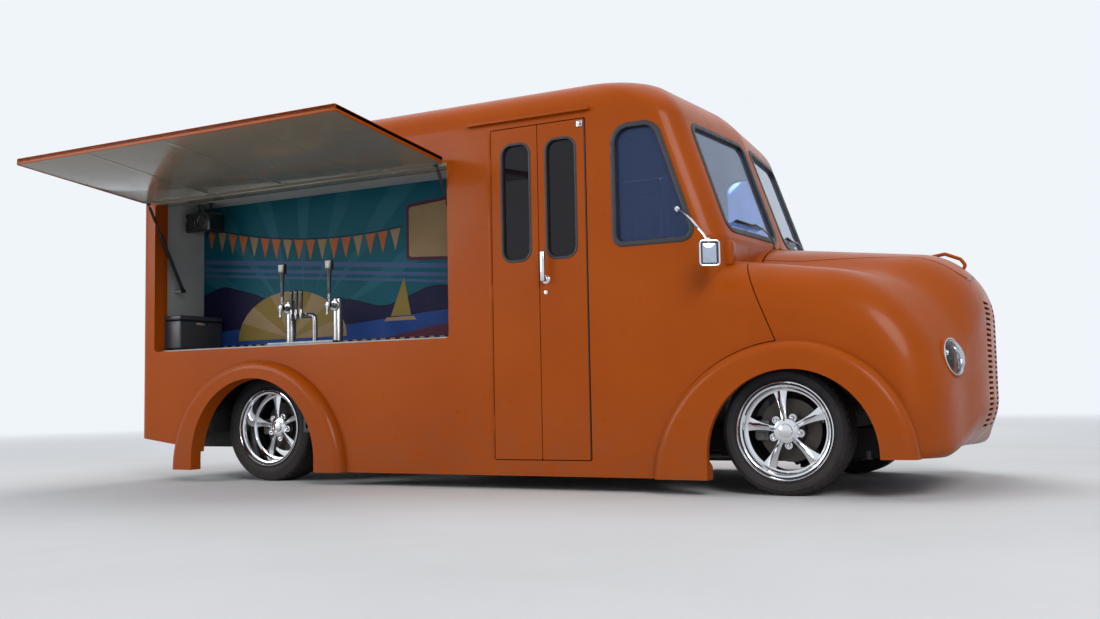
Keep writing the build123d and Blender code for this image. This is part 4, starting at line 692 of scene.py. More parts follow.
def hubParts(face):
    # the hub, its cap, and a cup, a nut and a stud end for each bolt
    cap, hub, circle = wheelLook["capR"], wheelLook["hub"], wheelLook["nutCircle"]
    parts = [
        turnedShape(offset(0, face, (0, -0.052), (hub, -0.052), (hub + 0.002, -0.01), (hub - 0.003, -0.003),
                           (hub - 0.014, 0), (cap + 0.006, 0.001), (0, 0.001)), steps=60),
        turnedShape(offset(0, face, (0, 0), (cap, 0), (cap + 0.001, 0.006), (cap - 0.001, 0.01),
                           (cap - 0.005, 0.011), (cap - 0.006, 0.0085), (cap - 0.012, 0.0105),
                           (0.01, 0.0125), (0, 0.0128)))]
    for index in range(wheelLook["spokes"]):
        angle = math.tau * (index + 0.5) / wheelLook["spokes"] + math.pi / 2
        place = shift((circle * math.cos(angle), circle * math.sin(angle), face))
        parts += [
            turnedShape([(0.0085, -0.04), (0.0195, -0.04), (0.02, -0.014), (0.0185, -0.0115),
                         (0.015, -0.0115), (0.0135, -0.0175), (0.0085, -0.0175)], place, 28),
            moved(tubeShape((0, 0, -0.036), (0, 0, -0.008), 0.0105, None, 6, 0.0012), place),
            turnedShape([(0, -0.01), (0.0092, -0.01), (0.0085, -0.003), (0.005, 0.0005), (0, 0.001)],
                        place, 18)]
    return parts


def caliperParts(outer, inner):
    # pads on both sides of the disc, a bridge, two pistons and a bracket
    parts = [boxShape((-0.166, -0.048, low), (-0.1, 0.048, high), 0.006, 3)
             for low, high in ((outer + 0.002, outer + 0.02), (inner - 0.022, inner - 0.002))]
    parts += [tubeShape((-0.132, y, outer + 0.012), (-0.132, y, outer + 0.025), 0.016, 0.015, 20, 0.002)
              for y in (-0.024, 0.024)]
    return parts + [boxShape((-0.172, -0.04, inner - 0.02), (-0.154, 0.04, outer + 0.018), 0.006, 3),
                    boxShape((-0.12, -0.02, inner - 0.04), (-0.02, 0.02, inner - 0.018), 0.004)]


def makeWheel(end, axle, label, side):
    name = f"{end}_{label}"
    body = "wheel_" + name
    centre = shift((axle["x"], side * axle["y"], axle["radius"])) @ spun(-90 * side, "X")
    place = centre @ spun(wheelLook["turned"], "Z")
    tyre = moved(tyreShape(axle["radius"], axle["width"]), place)
    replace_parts(piece("tyreTread_" + name, {"tyreRubber": [tyre]}, body), "tyre_" + name)
    half = axle["width"] / 2 - 0.006
    face = half - axle["dish"]
    bright = [lipShape(half, face)] + hubParts(face)
    bright += [moved(spokeShape(face), spun(360 * k / wheelLook["spokes"], "Z"))
               for k in range(wheelLook["spokes"])]
    # the barrel takes the near-black look, painted shade inside the wheel
    shapes = {"polished": allMoved(bright, place), "barrelPaintedShade": [moved(barrelShape(half, face), place)]}
    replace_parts(piece("wheelRim_" + name, shapes, body, 28), "rim_" + name)
    at, discR = axle["disc"], wheelLook["discR"]
    inner = at - wheelLook["discT"]
    disc = [(0.052, inner), (discR, inner), (discR, at - 0.014), (discR - 0.008, at - 0.014),
            (discR - 0.008, at - 0.008), (discR, at - 0.008), (discR, at), (0.082, at), (0.078, face - 0.053),
            (0.052, face - 0.053)]
    piece("brakeDisc_" + name, {"discSteel": [turnedShape(disc, place, 72)]}, body)
    carrier = "knuckle_" + label if end == "front" else "truck"
    piece("caliper_" + name, {"castGrey": allMoved(caliperParts(at, inner), centre)}, carrier)


for end, axle in axles.items():
    for label, side in sides:
        makeWheel(end, axle, label, side)
print("wheels ready")

sideWindow = {"outline": ((0.797, 1.235), (1.237, 1.235), (1.034, 1.846), (0.797, 1.846)),
              "radii": (0.05, 0.06, 0.09, 0.09), "proud": 0.01, "lap": 0.026, "out": 0.884,
              "deep": 0.036, "soft": 0.004}
leafWindows = {"z": (1.195, 1.825), "radii": (0.06,) * 4, "proud": 0.005, "lap": 0.014, "out": 0.8825,
               "deep": 0.026, "soft": 0.003, "rear": (0.145, 0.32), "front": (0.412, 0.59)}
screen = {"y": (0.06, 0.73), "z": (1.29, 1.85), "radii": (0.07,) * 4, "proud": 0.012, "lap": 0.03,
          "deep": 0.031, "sunk": 0.026, "soft": 0.004, "foot": 1.425, "belt": 1.25, "rake": 0.343,
          "sweep": 0.085}


def makeSeal(name, look, outline, place, body="truck"):
    proud = look["proud"]
    seal = ringShape(grownOutline(outline, proud), [r + proud for r in look["radii"]], look["lap"],
                     look["deep"], place, look["soft"])
    piece(name, {"gasketRubber": [seal]}, body)


for label, side in sides:
    place = sideFrame(side, sideWindow["out"] - sideWindow["deep"])
    makeSeal("sideWindowSeal_" + label, sideWindow, sideWindow["outline"], place)
    for leaf in ("rear", "front"):
        place = sideFrame(side, leafWindows["out"] - leafWindows["deep"])
        outline = oblong(leafWindows[leaf], leafWindows["z"])
        makeSeal(f"leafSeal_{label}_{leaf}", leafWindows, outline, place, f"door_{label}_{leaf}")


def screenFrame(side):
    # the plane of one windscreen pane, as the CAD has it
    middleY, middleZ = side * sum(screen["y"]) / 2, sum(screen["z"]) / 2
    x = screen["foot"] - screen["rake"] * (middleZ - screen["belt"]) - screen["sweep"] * abs(middleY)
    widthWay = Vector((-screen["sweep"] * side, 1, 0)).normalized()
    normal = widthWay.cross(Vector((-screen["rake"], 0, 1))).normalized()
    turn = Matrix((widthWay, normal.cross(widthWay), normal)).transposed().to_4x4()
    return shift((x, middleY, middleZ)) @ turn


halfWide = (screen["y"][1] - screen["y"][0]) / 2
halfTall = (screen["z"][1] - screen["z"][0]) * math.hypot(1, screen["rake"]) / 2
for label, side in sides:
    place = screenFrame(side) @ shift((0, 0, -screen["sunk"]))
    makeSeal("screenSeal_" + label, screen, oblong((-halfWide, halfWide), (-halfTall, halfTall)), place)
    # parked wiper on the pane
    blade = allMoved([boxShape((-0.2, -0.004, 0.012), (0.16, 0.004, 0.03), 0.002),
                      boxShape((-0.2, -0.0015, 0.002), (0.16, 0.0015, 0.014))],
                     place @ shift((0, -0.235, 0.012)))
    arm = [place @ Vector(point) for point in ((0.02, -0.232, 0.046), (0.14, -0.262, 0.05),
                                               (0.225, -0.312, 0.044), (0.245, -0.33, 0.03))]
    blade += [bentShape(arm, 0.0035),
              tubeShape(arm[-1] - Vector((0.03, 0, 0.03)), arm[-1] + Vector((0.004, 0, 0.002)),
                        0.01, 0.008, 20, 0.002)]
    piece("wiper_" + label, {"handleBlack": blade})
print("seals and wipers ready")

# The headlamp's glass lies in the fender's slope, and the bowl behind it is aimed ahead
headlamp = {"x": 2.3555, "y": 0.622, "z": 0.63, "slope": (0.334, 0.191), "podR": 0.0965, "ringR": 0.088,
            "lensR": 0.0815, "bulge": 0.04, "bowlX": 2.322}
pod, ring, lens, rise = (headlamp[key] for key in ("podR", "ringR", "lensR", "bulge"))
dome = [(lens * math.sin(math.radians(turn)), 0.0005 + (rise - 0.0005) * math.cos(math.radians(turn)))
        for turn in range(9, 90, 9)]
dome = [(0, rise)] + dome + [(lens - 0.0006, 0.0005)]
lampProfiles = {
    "pod": [(pod, -0.034), (pod, -0.003), (pod - 0.0015, 0.0025), (pod - 0.0045, 0.0055),
            (ring + 0.0015, 0.006), (ring - 0.0003, 0.004), (ring - 0.0005, -0.034)],
    "bezel": [(ring, -0.02), (ring, 0.0045), (ring - 0.0012, 0.007), (ring - 0.0035, 0.0078),
              (lens + 0.001, 0.0066), (lens, 0.004), (lens, -0.02)],
    "bowl": [(0.012, -0.086), (0.03, -0.077), (0.05, -0.056), (0.066, -0.03), (0.0765, 0.0),
             (0.0825, 0.002), (0.0825, -0.001), (0.078, -0.003), (0.069, -0.034), (0.053, -0.061),
             (0.032, -0.082), (0.012, -0.091)],
    "glass": dome + [(r * 0.965, z - 0.0035) for r, z in reversed(dome)],
}
for label, side in sides:
    outward, upward = headlamp["slope"]
    y, z = side * headlamp["y"], headlamp["z"]
    place = shift((headlamp["x"], y, z)) @ turnTo((1, side * outward, upward))
    ahead = shift((headlamp["bowlX"], y, z)) @ spun(90, "Y")
    piece("lampPod_" + label, {"paintOrange": [turnedShape(lampProfiles["pod"], place, 72)]})
    bezel = turnedShape(lampProfiles["bezel"], place, 64)
    rim = piece("lampBezel_" + label, {"polished": [bezel]})
    bowl = [turnedShape(lampProfiles["bowl"], ahead),
            moved(ballShape((0, 0, -0.062), 0.012, (1, 1, 1.5)), ahead)]
    piece("lampBowl_" + label, {"polished": bowl})
    glass = turnedShape(lampProfiles["glass"], place, 64)
    piece("lampLens_" + label, {"lensGlass": [glass]})
    if side < 0:
        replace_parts(rim, "headlamps")

radiator = {"x": (2.166, 2.206), "half": 0.3, "z": (0.27, 0.85)}
(x0, x1), half, (z0, z1) = radiator["x"], radiator["half"], radiator["z"]
tanks = [boxShape((x0 - 0.004, -half - 0.01, low), (x1 + 0.004, half + 0.01, high), 0.008, 3)
         for low, high in ((z0, z0 + 0.05), (z1 - 0.06, z1))]
core = boxShape((x0, -half, z0 + 0.04), (x1, half, z1 - 0.05), 0.002)
piece("radiator", {"radiatorCore": [core], "paintBlack": tanks})

tailLamp = {"y": 0.76, "z": 0.62, "x": -2.551, "outR": 0.0495}
for label, side in sides:
    place = shift((tailLamp["x"], side * tailLamp["y"], tailLamp["z"])) @ spun(-90, "Y")
    ring = offset(tailLamp["outR"], 0, (0, 0), (0, 0.012), (-0.002, 0.016), (-0.007, 0.017), (-0.009, 0.013),
                  (-0.009, 0))
    rim = tailLamp["outR"] - 0.0095
    lens = [(0, 0.001), (rim, 0.001), (rim, 0.014), (0.036, 0.019), (0.03, 0.0205), (0.029, 0.0195),
            (0.022, 0.0235), (0.021, 0.0225), (0.012, 0.026), (0.011, 0.025), (0, 0.027)]
    made = piece("tailLamp_" + label, {"polished": [turnedShape(ring, place)],
                                       "lampRed": [turnedShape(lens, place)]})
    if side < 0:
        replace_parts(made, "tail_lamps")
print("lamps ready")

mirror = {"at": (1.348, 1.02, 1.14), "size": (0.028, 0.1, 0.125), "turn": 60.0, "radius": 0.018,
          "arm": ((1.139, 0.878, 1.39), (1.18, 0.918, 1.366), (1.232, 0.962, 1.33),
                  (1.296, 1.012, 1.262), (1.332, 1.018, 1.222), (1.342, 1.02, 1.19))}
for label, side in sides:
    thick, wide, tall = mirror["size"]
    x, y, z = mirror["at"]
    # local Z is the glass's normal, X its width, Y its height
    turn = Matrix(((0, 0, 1, 0), (1, 0, 0, 0), (0, 1, 0, 0), (0, 0, 0, 1)))
    place = shift((x, side * y, z)) @ spun(side * mirror["turn"], "Z") @ turn @ shift((0, 0, -thick / 2))
    outline = oblong((-wide / 2, wide / 2), (-tall / 2, tall / 2))
    inner, glass = grownOutline(outline, -0.0085), grownOutline(outline, -0.016)
    arm = [Vector((px, side * py, pz)) for px, py, pz in mirror["arm"]]
    foot, neck = arm[0], arm[-1]
    bright = [ringShape(outline, mirror["radius"], 0.009, thick, place, 0.003), bentShape(arm, 0.006),
              tubeShape(foot - Vector((0, side * 0.002, 0)), foot + Vector((0.006, side * 0.008, -0.004)),
                        0.017, 0.013, 24, 0.002),
              tubeShape(neck + Vector((0, 0, 0.022)), neck + Vector((0.002, 0, -0.006)),
                        0.011, 0.013, 20, 0.002)]
    dark = ringShape(inner, 0.01, 0.009, thick - 0.008, place @ shift((0, 0, 0.004)), 0.002)
    glass = plateShape(glass, 0.005, thick - 0.012, place @ shift((0, 0, 0.006)), 0.001)
    shapes = {"polished": bright, "gasketRubber": [dark], "mirrorGlass": [glass]}
    made = piece("mirror_" + label, shapes)
    if side < 0:
        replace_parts(made, "mirrors")
print("mirrors ready")

# Folding doors: levers, hinge strips, edge rubbers, top guides
lever = {"x": (0.394, 0.418), "z": (1.076, 1.234), "out": 0.88, "reach": 0.047}
strip = {"x": 0.0745, "z": (0.16, 1.91), "pitch": 0.05}
for label, side in sides:
    leaf = f"door_{label}_front"
    across, (foot, head), out = lever["x"], lever["z"], lever["out"]
    middle = sum(across) / 2
    grip = [flankBox(side, across, (out + 0.028, out + lever["reach"]), (foot, head), 0.006),
            flankBox(side, across, (out, out + 0.04), (foot, foot + 0.027), 0.005),
            flankTube(side, middle, (out, out + 0.007), foot + 0.013, 0.026, 0.022, 32),
            flankTube(side, middle, (out, out + 0.006), foot - 0.055, 0.012, 0.011)]
    piece("doorLever_" + label, {"polished": grip}, leaf)
    x, z = strip["x"], strip["z"][0]
    knuckles = [flankBox(side, (x - 0.013, x + 0.0005), (0.8795, 0.8812), strip["z"], 0.0004)]
    while z < strip["z"][1] - strip["pitch"]:
        y = side * 0.8805
        knuckles.append(tubeShape((x, y, z + 0.0008), (x, y, z + strip["pitch"] - 0.0008), 0.0032, None, 10))
        z += strip["pitch"]
    piece("hingeStrip_" + label, {"paintOrange": knuckles})
    rubber = flankBox(side, (0.6385, 0.644), (0.846, 0.878), (0.165, 1.905), 0.002)
    piece("edgeRubber_" + label, {"gasketRubber": [rubber]}, leaf)
    guide = [flankBox(side, (0.6, 0.634), (0.88, 0.886), (1.868, 1.9), 0.002),
             flankTube(side, 0.622, (0.886, 0.896), 1.884, 0.009, 0.008, 20),
             flankTube(side, 0.608, (0.884, 0.89), 1.884, 0.0045, 0.004, 6, 0)]
    piece("doorGuide_" + label, {"brushed": guide}, leaf)
print("door fittings ready")

# The awning is made in its closed place, then turned open as the CAD's is
awning = {"x": (-2.485, -0.197), "z": (0.835, 1.766), "y": (-0.922, -0.886), "edge": 0.009, "lip": 0.003,
          "core": 0.012, "axis": (0.0, -0.904, 1.78), "open": 95.6, "ribs": (-1.92, -1.34, -0.76),
          "screws": 9, "hinges": (-2.4, -1.888, -1.375, -0.862, -0.35),
          "leaf": (0.001, 0.046)}
turnOpen = shift(awning["axis"]) @ spun(-awning["open"], "X") @ shift(-Vector(awning["axis"]))
(x0, x1), (y0, y1), (z0, z1) = awning["x"], awning["y"], awning["z"]
outline = oblong((x0, x1), (z0, z1))
inward = Matrix(((1, 0, 0, 0), (0, 0, 1, y0), (0, 1, 0, 0), (0, 0, 0, 1)))
shell = [plateShape(outline, 0.012, y1 - y0 - 0.01, inward, 0.004),
         ringShape(outline, 0.012, awning["edge"], y1 - y0, inward, 0.003)]
skin = [plateShape(grownOutline(outline, 0.002 - awning["edge"]), 0.006,
                   y1 - y0 - awning["lip"] - awning["core"], inward @ shift((0, 0, awning["core"])), 0.0015),
        boxShape((x0 + 0.008, y0 + 0.004, z1 - 0.01), (x1 - 0.008, y1 + 0.0006, z1 + 0.0008), 0.0004, 1)]
for x in awning["ribs"]:
    skin.append(boxShape((x - 0.01, y1 - awning["lip"] - 0.001, z0 + 0.02),
                         (x + 0.01, y1 - 0.0018, z1 - 0.02), 0.0006))
for x in awning["ribs"] + (x0 + 0.03, x1 - 0.03):
    for index in range(awning["screws"]):
        z = z0 + 0.05 + (z1 - z0 - 0.1) * index / (awning["screws"] - 1)
        skin.append(tubeShape((x, y1 - 0.003, z), (x, y1 - 0.0008, z), 0.0035, 0.0022, 8))
cover = piece("awningShell", {"paintOrange": allMoved(shell, turnOpen)}, "awning")
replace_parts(cover, "awning")
piece("awningSkin", {"awningSkin": allMoved(skin, turnOpen)}, "awning")
fittings = []
y, z = awning["axis"][1:]
for x in awning["hinges"]:
    low, high = (x + end for end in awning["leaf"])
    fittings += [tubeShape((low, y, z), (high, y, z), 0.0082, None, 16, 0.001),
                 boxShape((low, y - 0.0065, z - 0.035), (high, y + 0.0065, z - 0.001), 0.002)]
fittings = allMoved(fittings, turnOpen)

# Gas struts: pins through the rods' eyes, collars, eye washers and sleeves
strut = {"x": (("rear", -2.412, -1), ("front", -0.218, 1)), "foot": (-0.657, 1.216), "head": (-0.953, 1.748),
         "pin": (0.0065, 0.019), "body": 0.4, "collarR": 0.0125, "rodR": 0.005,
         "sleeve": (0.486, 0.588), "sleeveR": 0.0092}
for label, x, outward in strut["x"]:
    near, far = ((x - outward * reach, *strut["head"]) for reach in strut["pin"])
    fittings.append(tubeShape(near, far, 0.0055, None, 16, 0.001))
piece("awningFittings", {"paintBlack": fittings}, "awning")
print("awning ready")

for label, x, outward in strut["x"]:
    foot, head = Vector((x, *strut["foot"])), Vector((x, *strut["head"]))
    way = (head - foot).normalized()
    out, rod = strut["collarR"], strut["rodR"]
    collar = [(out - 0.002, -0.02), (out, -0.018), (out, -0.003), (out - 0.003, 0.0015), (rod + 0.002, 0.004),
              (rod, 0.004), (rod, -0.02)]
    parts = [turnedShape(collar, shift(foot + way * strut["body"]) @ turnTo(way), 28)]
    for turn in (-1, 1):
        near, far = (foot + Vector((turn * reach, 0, 0)) for reach in (0.0092, 0.0112))
        parts.append(tubeShape(near, far, 0.0125, None, 24, 0.0006))
    piece("strutCollar_" + label, {"paintBlack": parts}, "strut_cylinder_" + label)
    low, high = (foot + way * along for along in strut["sleeve"])
    sleeve = tubeShape(low, high, strut["sleeveR"], None, 28, 0.0015)
    piece("strutSleeve_" + label, {"paintBlack": [sleeve]}, "strut_rod_" + label)
print("struts ready")

# The hatch's folded edges, inside the wall, and a grey trim at its head
hatchEdge = {"x": (-2.43, -0.2), "z": (0.822, 1.76), "out": (0.774, 0.8355), "sheet": 0.011}
(x0, x1), z1, sheet = hatchEdge["x"], hatchEdge["z"][1], hatchEdge["sheet"]
edges = [flankBox(-1, span, hatchEdge["out"], hatchEdge["z"], 0.002)
         for span in ((x0 - sheet, x0), (x1, x1 + sheet))]
piece("hatchEdges", {"paintOrange": edges})
headTrim = [flankBox(-1, (x0 + 0.001, x1 - 0.001), out, (z1 - 0.0022, top), 0.0008)
            for out, top in (((0.774, 0.8785), z1 + 0.001), ((0.878, 0.8816), z1 + 0.017))]
piece("hatchHeadTrim", {"awningSkin": headTrim})

# Rounded covers over the cowl's corners at the pillars' feet
cowlCorner = {"x": (1.318, 1.3855), "out": (0.722, 0.7955), "z": (1.1, 1.229), "round": 0.018}
for label, side in sides:
    cover = flankBox(side, cowlCorner["x"], cowlCorner["out"], cowlCorner["z"], cowlCorner["round"])
    piece("cowlCorner_" + label, {"paintOrange": [cover]})

# A made-up fairground picture in sign paint on the panel behind the counter
mural = {"out": 0.4, "x": (-2.484, -0.172), "z": (0.822, 1.798), "rays": 9, "rayAt": (-1.62, 0.9),
         "rayFrom": 0.3, "rayTo": 2.6, "flags": 17, "parasol": (-1.72, 0.885), "gores": 8, "check": 0.036}
paints = {"mural" + tone: [] for tone in ("Ray", "Band", "Navy", "Blue", "Yellow", "Cream", "Orange", "Wine")}


def painted(look, layer, points, radii=0):
    # a flat shape in sign paint, trimmed to the panel
    bm = plateShape(points, radii, 0.0003 + 0.0004 * layer)
    trims = [((at, 0, 0), (way, 0, 0)) for at, way in zip(mural["x"], (-1, 1))]
    trims += [((0, at, 0), (0, way, 0)) for at, way in zip(mural["z"], (-1, 1))]
    for at, way in trims:
        cut = bmesh.ops.bisect_plane(bm, geom=bm.verts[:] + bm.edges[:] + bm.faces[:], plane_co=at,
                                     plane_no=way, clear_outer=True)
        rim = [e for e in cut["geom_cut"] if isinstance(e, bmesh.types.BMEdge)]
        if rim:
            bmesh.ops.contextual_create(bm, geom=rim)
    paints[look].append(moved(bm, sideFrame(-1, mural["out"])))


def around(middle, wide, angle, tall=None):
    # a point on an ellipse
    return middle[0] + wide * math.cos(angle), middle[1] + (tall or wide) * math.sin(angle)


def paintMural():
    (west, east), foot = mural["x"], mural["z"][0]
    for index in range(mural["rays"]):
        angle, half = math.radians(8 + 164 * index / (mural["rays"] - 1)), math.radians(4.6)
        ray = [around(mural["rayAt"], mural["rayFrom"], angle)]
        painted("muralRay", 0, ray + [around(mural["rayAt"], mural["rayTo"], angle + turn)
                                      for turn in (-half, half)])
    # three ribbons of light blue that slope to the right
    for level, thick in ((1.42, 0.03), (1.372, 0.022), (1.334, 0.016)):
        painted("muralBand", 1, [(west, level), (east, level - 0.19), (east, level - 0.19 + thick),
                                 (west, level + thick)])
    # hills, water and shore
    hills = [(west, foot), (east, foot), (east, 1.12), (-0.62, 1.17), (-0.98, 1.05), (-1.3, 1.13),
             (-1.62, 1.02), (-2.02, 1.19), (-2.3, 1.26), (west, 1.21)]
    painted("muralNavy", 2, hills, [0, 0, 0, 0.3, 0.25, 0.25, 0.25, 0.3, 0.15, 0])
    water = [(west, foot), (east, foot), (east, 1.035), (-0.7, 1.0), (-1.25, 0.955), (-1.9, 0.985),
             (west, 0.94)]
    painted("muralBlue", 3, water, [0, 0, 0, 0.4, 0.5, 0.5, 0])
    painted("muralWine", 4, [(-1.2, foot), (east, foot), (east, 0.915), (-0.55, 0.93)], [0, 0, 0, 0.6])
    # striped parasol
    (px, pz), gores = mural["parasol"], mural["gores"]
    for index in range(gores):
        rim = [around((px, pz), 0.45, math.pi * (index + k) / gores, 0.3096) for k in (0, 0.5, 1)]
        painted("muralYellow" if index % 2 else "muralCream", 5, [(px, pz)] + rim)
    painted("muralCream", 6, oblong((px - 0.01, px + 0.01), (foot, pz)))
    # a small yellow sail on the water
    painted("muralYellow", 5, [(-0.93, 0.99), (-0.78, 0.99), (-0.83, 1.225)])
    painted("muralCream", 5, [(-0.98, 0.962), (-0.74, 0.962), (-0.76, 0.984), (-0.96, 0.984)])
    # bunting on a slack line
    steps = [index / mural["flags"] for index in range(mural["flags"] + 1)]
    line = [(west + 0.02 + 1.62 * t, 1.665 - 0.13 * t - 0.3 * t * (1 - t)) for t in steps]
    for index, ((ax, az), (bx, bz)) in enumerate(zip(line, line[1:])):
        flag = [(ax + 0.01, az - 0.003), ((ax + bx) / 2, (az + bz) / 2 - 0.135), (bx - 0.01, bz - 0.003)]
        painted("muralCream" if index % 3 == 1 else "muralOrange", 3, flag)
        painted("muralNavy", 4, [(ax, az), (bx, bz), (bx, bz + 0.006), (ax, az + 0.006)])
    # blank cream board in a wine-red frame
    board = [(-0.79, 1.345), (-0.3, 1.32), (-0.3, 1.69), (-0.79, 1.65)]
    painted("muralWine", 4, grownOutline(board, 0.02), 0.03)
    painted("muralCream", 5, board, 0.02)
    # chequered foot strip
    size = mural["check"]
    for index in range(int((east - west) / size)):
        x = west + size * index
        painted("muralCream" if index % 2 else "muralNavy", 6, oblong((x, x + size), (foot, foot + size)))


paintMural()
piece("muralPicture", paints)
print("mural ready")

# Drink taps: two towers with tall handles, and three small taps on a bent pipe
tower = {"x": (-1.46, -1.1), "y": -0.7, "foot": 0.82, "top": 1.097, "r": 0.03, "flange": 0.043,
         "faucet": 1.045, "stem": 0.08, "handle": (1.08, 1.314), "screws": 4, "screwCircle": 0.0355}
small = {"x": (-1.33, -1.368, -1.406), "z": 1.0, "out": 0.07, "r": 0.0088, "pipeX": -1.275}
steel, black, badges = [], [], []
r, flange, foot, top, y, z = (tower[key] for key in ("r", "flange", "foot", "top", "y", "faucet"))
column = [(0, foot), (flange, foot), (flange, foot + 0.005), (flange - 0.004, foot + 0.008),
          (r + 0.004, foot + 0.01), (r, foot + 0.015), (r, top - 0.014), (r - 0.0015, top - 0.008),
          (r - 0.007, top - 0.002), (r - 0.014, top), (0, top)]
faucet = [(0, 0), (0.01, 0), (0.0135, 0.006), (0.0165, 0.016), (0.017, 0.026), (0.015, 0.036),
          (0.0165, 0.04), (0.0165, 0.043), (0.008, 0.0455), (0, 0.0455)]
bonnet = [(0, 0.008), (0.011, 0.008), (0.0115, 0.018), (0.009, 0.021), (0.0062, 0.023), (0.0062, 0.036),
          (0, 0.036)]
ferrule = [(0, 0), (0.0105, 0), (0.0125, 0.003), (0.0125, 0.01), (0.0095, 0.013), (0.0095, 0.03),
           (0.0105, 0.033), (0, 0.033)]
neck = [(0, 0.032), (0.0088, 0.032), (0.0098, 0.04), (0.0105, 0.09), (0.0122, 0.14), (0.015, 0.164),
        (0.0165, 0.176), (0, 0.177)]
stem, (low, high) = y - tower["stem"], tower["handle"]
for x in tower["x"]:
    for index in range(tower["screws"]):
        sx, sy = around((x, y), tower["screwCircle"], math.pi / 4 + math.pi / 2 * index)
        steel.append(tubeShape((sx, sy, foot + 0.006), (sx, sy, foot + 0.0115), 0.0042, 0.0038, 6))
    steel += [
        turnedShape(column, shift((x, y, 0)), 56),
        tubeShape((x, y, z), (x, y - 0.062, z), 0.0125, 0.0115, 28, 0.001),
        tubeShape((x, y - 0.026, z), (x, y - 0.034, z), 0.034, 0.031, 40, 0.0015),
        tubeShape((x, y - 0.04, z), (x, y - 0.054, z), 0.0185, None, 6, 0.0012),
        turnedShape(faucet, shift((x, y - 0.056, z)) @ turnTo((0, -1, 0)), 36),
        bentShape([(x, y - 0.084, z), (x, y - 0.096, z - 0.006), (x, y - 0.0965, z - 0.03),
                   (x, y - 0.0965, z - 0.06)], 0.0092),
        tubeShape((x, y - 0.0965, z - 0.06), (x, y - 0.0965, z - 0.046), 0.0105, None, 24, 0.0008),
        turnedShape(bonnet, shift((x, stem, z)), 28),
        turnedShape(ferrule, shift((x, stem, low)), 28)]
    black += [turnedShape(neck, shift((x, stem, low)), 32),
              boxShape((x - 0.0245, stem - 0.0155, high - 0.062), (x + 0.0245, stem + 0.0155, high),
                       0.007, 4)]
    badges.append(boxShape((x - 0.015, stem - 0.0172, high - 0.047), (x + 0.015, stem - 0.015, high - 0.015),
                           0.0009))
x, z = small["pipeX"], small["z"]
steel += [bentShape([(x, y, 0.828), (x, y, 0.9), (x, y, 0.965), (-1.283, y, 0.997), (-1.32, y, z),
                     (-1.42, y, z)], 0.0155),
          turnedShape([(0, 0), (0.036, 0), (0.036, 0.004), (0.033, 0.007), (0.02, 0.009), (0.018, 0.014),
                       (0, 0.014)], shift((x, y, foot)), 44),
          tubeShape((-1.412, y, z), (-1.4225, y, z), 0.0175, 0.016, 32, 0.0015)]
bonnet = [(0, 0.004), (0.0105, 0.004), (0.0115, 0.012), (0.0085, 0.018), (0.0085, 0.034), (0, 0.034)]
knob = [(0, 0.032), (0.008, 0.032), (0.0092, 0.04), (0.0105, 0.085), (0.012, 0.128), (0.0118, 0.14),
        (0.0085, 0.1475), (0, 0.148)]
for x in small["x"]:
    place = shift((x, y - 0.061, z))
    steel += [tubeShape((x, y - 0.012, z), (x, y - small["out"], z), small["r"], 0.008, 24, 0.001),
              tubeShape((x, y - 0.018, z), (x, y - 0.026, z), 0.013, None, 6, 0.001),
              tubeShape((x, y - 0.0625, z + 0.003), (x, y - 0.0635, z - 0.028), 0.0078, 0.0062, 22, 0.001),
              turnedShape(bonnet, place, 24)]
    black.append(turnedShape(knob, place, 28))
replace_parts(piece("tapTowers", {"steelTap": steel}, "truck", 40), "drink_taps")
made = piece("tapHandles", {"handleBlack": black, "badgeFace": badges}, "truck", 40)
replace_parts(made, "tap_handles")

# Drip tray with a slatted grate, a speaker, and a cool box at the rear end of the counter
tray = {"x": (-1.535, -1.035), "y": (-0.832, -0.738), "z": (0.82, 0.834), "slats": 30}
(x0, x1), (y0, y1), (z0, z1) = tray["x"], tray["y"], tray["z"]
parts = [ringShape(oblong(tray["x"], tray["y"]), 0.006, 0.007, z1 - z0, shift((0, 0, z0)), 0.0015),
         boxShape((x0 + 0.004, y0 + 0.004, z0), (x1 - 0.004, y1 - 0.004, z0 + 0.004))]
for index in range(tray["slats"]):
    x = x0 + 0.012 + (x1 - x0 - 0.024) * index / (tray["slats"] - 1)
    parts.append(boxShape((x - 0.0035, y0 + 0.006, z1 - 0.005), (x + 0.0035, y1 - 0.006, z1 - 0.001),
                          0.0008, 1))
piece("dripTray", {"counterSteel": parts})
speaker = {"x": (-2.44, -2.225), "y": (-0.62, -0.47), "z": (1.605, 1.735), "driver": 0.055}
(x0, x1), (y0, y1), (z0, z1) = speaker["x"], speaker["y"], speaker["z"]
parts = [boxShape((x0, y0, z0), (x1, y1, z1), 0.016, 4)]
for x in (x0 + speaker["driver"], x1 - speaker["driver"]):
    middle = (y0 + y1) / 2
    parts += [tubeShape((x, middle, z1 - 0.004), (x, middle, 1.801), 0.007, None, 16),
              boxShape((x - 0.02, middle - 0.02, 1.796), (x + 0.02, middle + 0.02, 1.8005), 0.001),
              turnedShape([(0.039, 0), (0.043, 0), (0.043, 0.003), (0.04, 0.004), (0.037, 0.002)],
                          shift((x, y0 - 0.004, (z0 + z1) / 2)) @ turnTo((0, -1, 0)), 40)]
cloth = boxShape((x0 + 0.012, y0 - 0.004, z0 + 0.012), (x1 - 0.012, y0 + 0.004, z1 - 0.012), 0.003)
piece("speaker", {"handleBlack": parts, "speakerCloth": [cloth]})
coolBox = {"x": (-2.484, -2.292), "y": (-0.795, -0.425), "z": (0.82, 1.045), "lid": 0.03}
(x0, x1), (y0, y1), (z0, z1) = coolBox["x"], coolBox["y"], coolBox["z"]
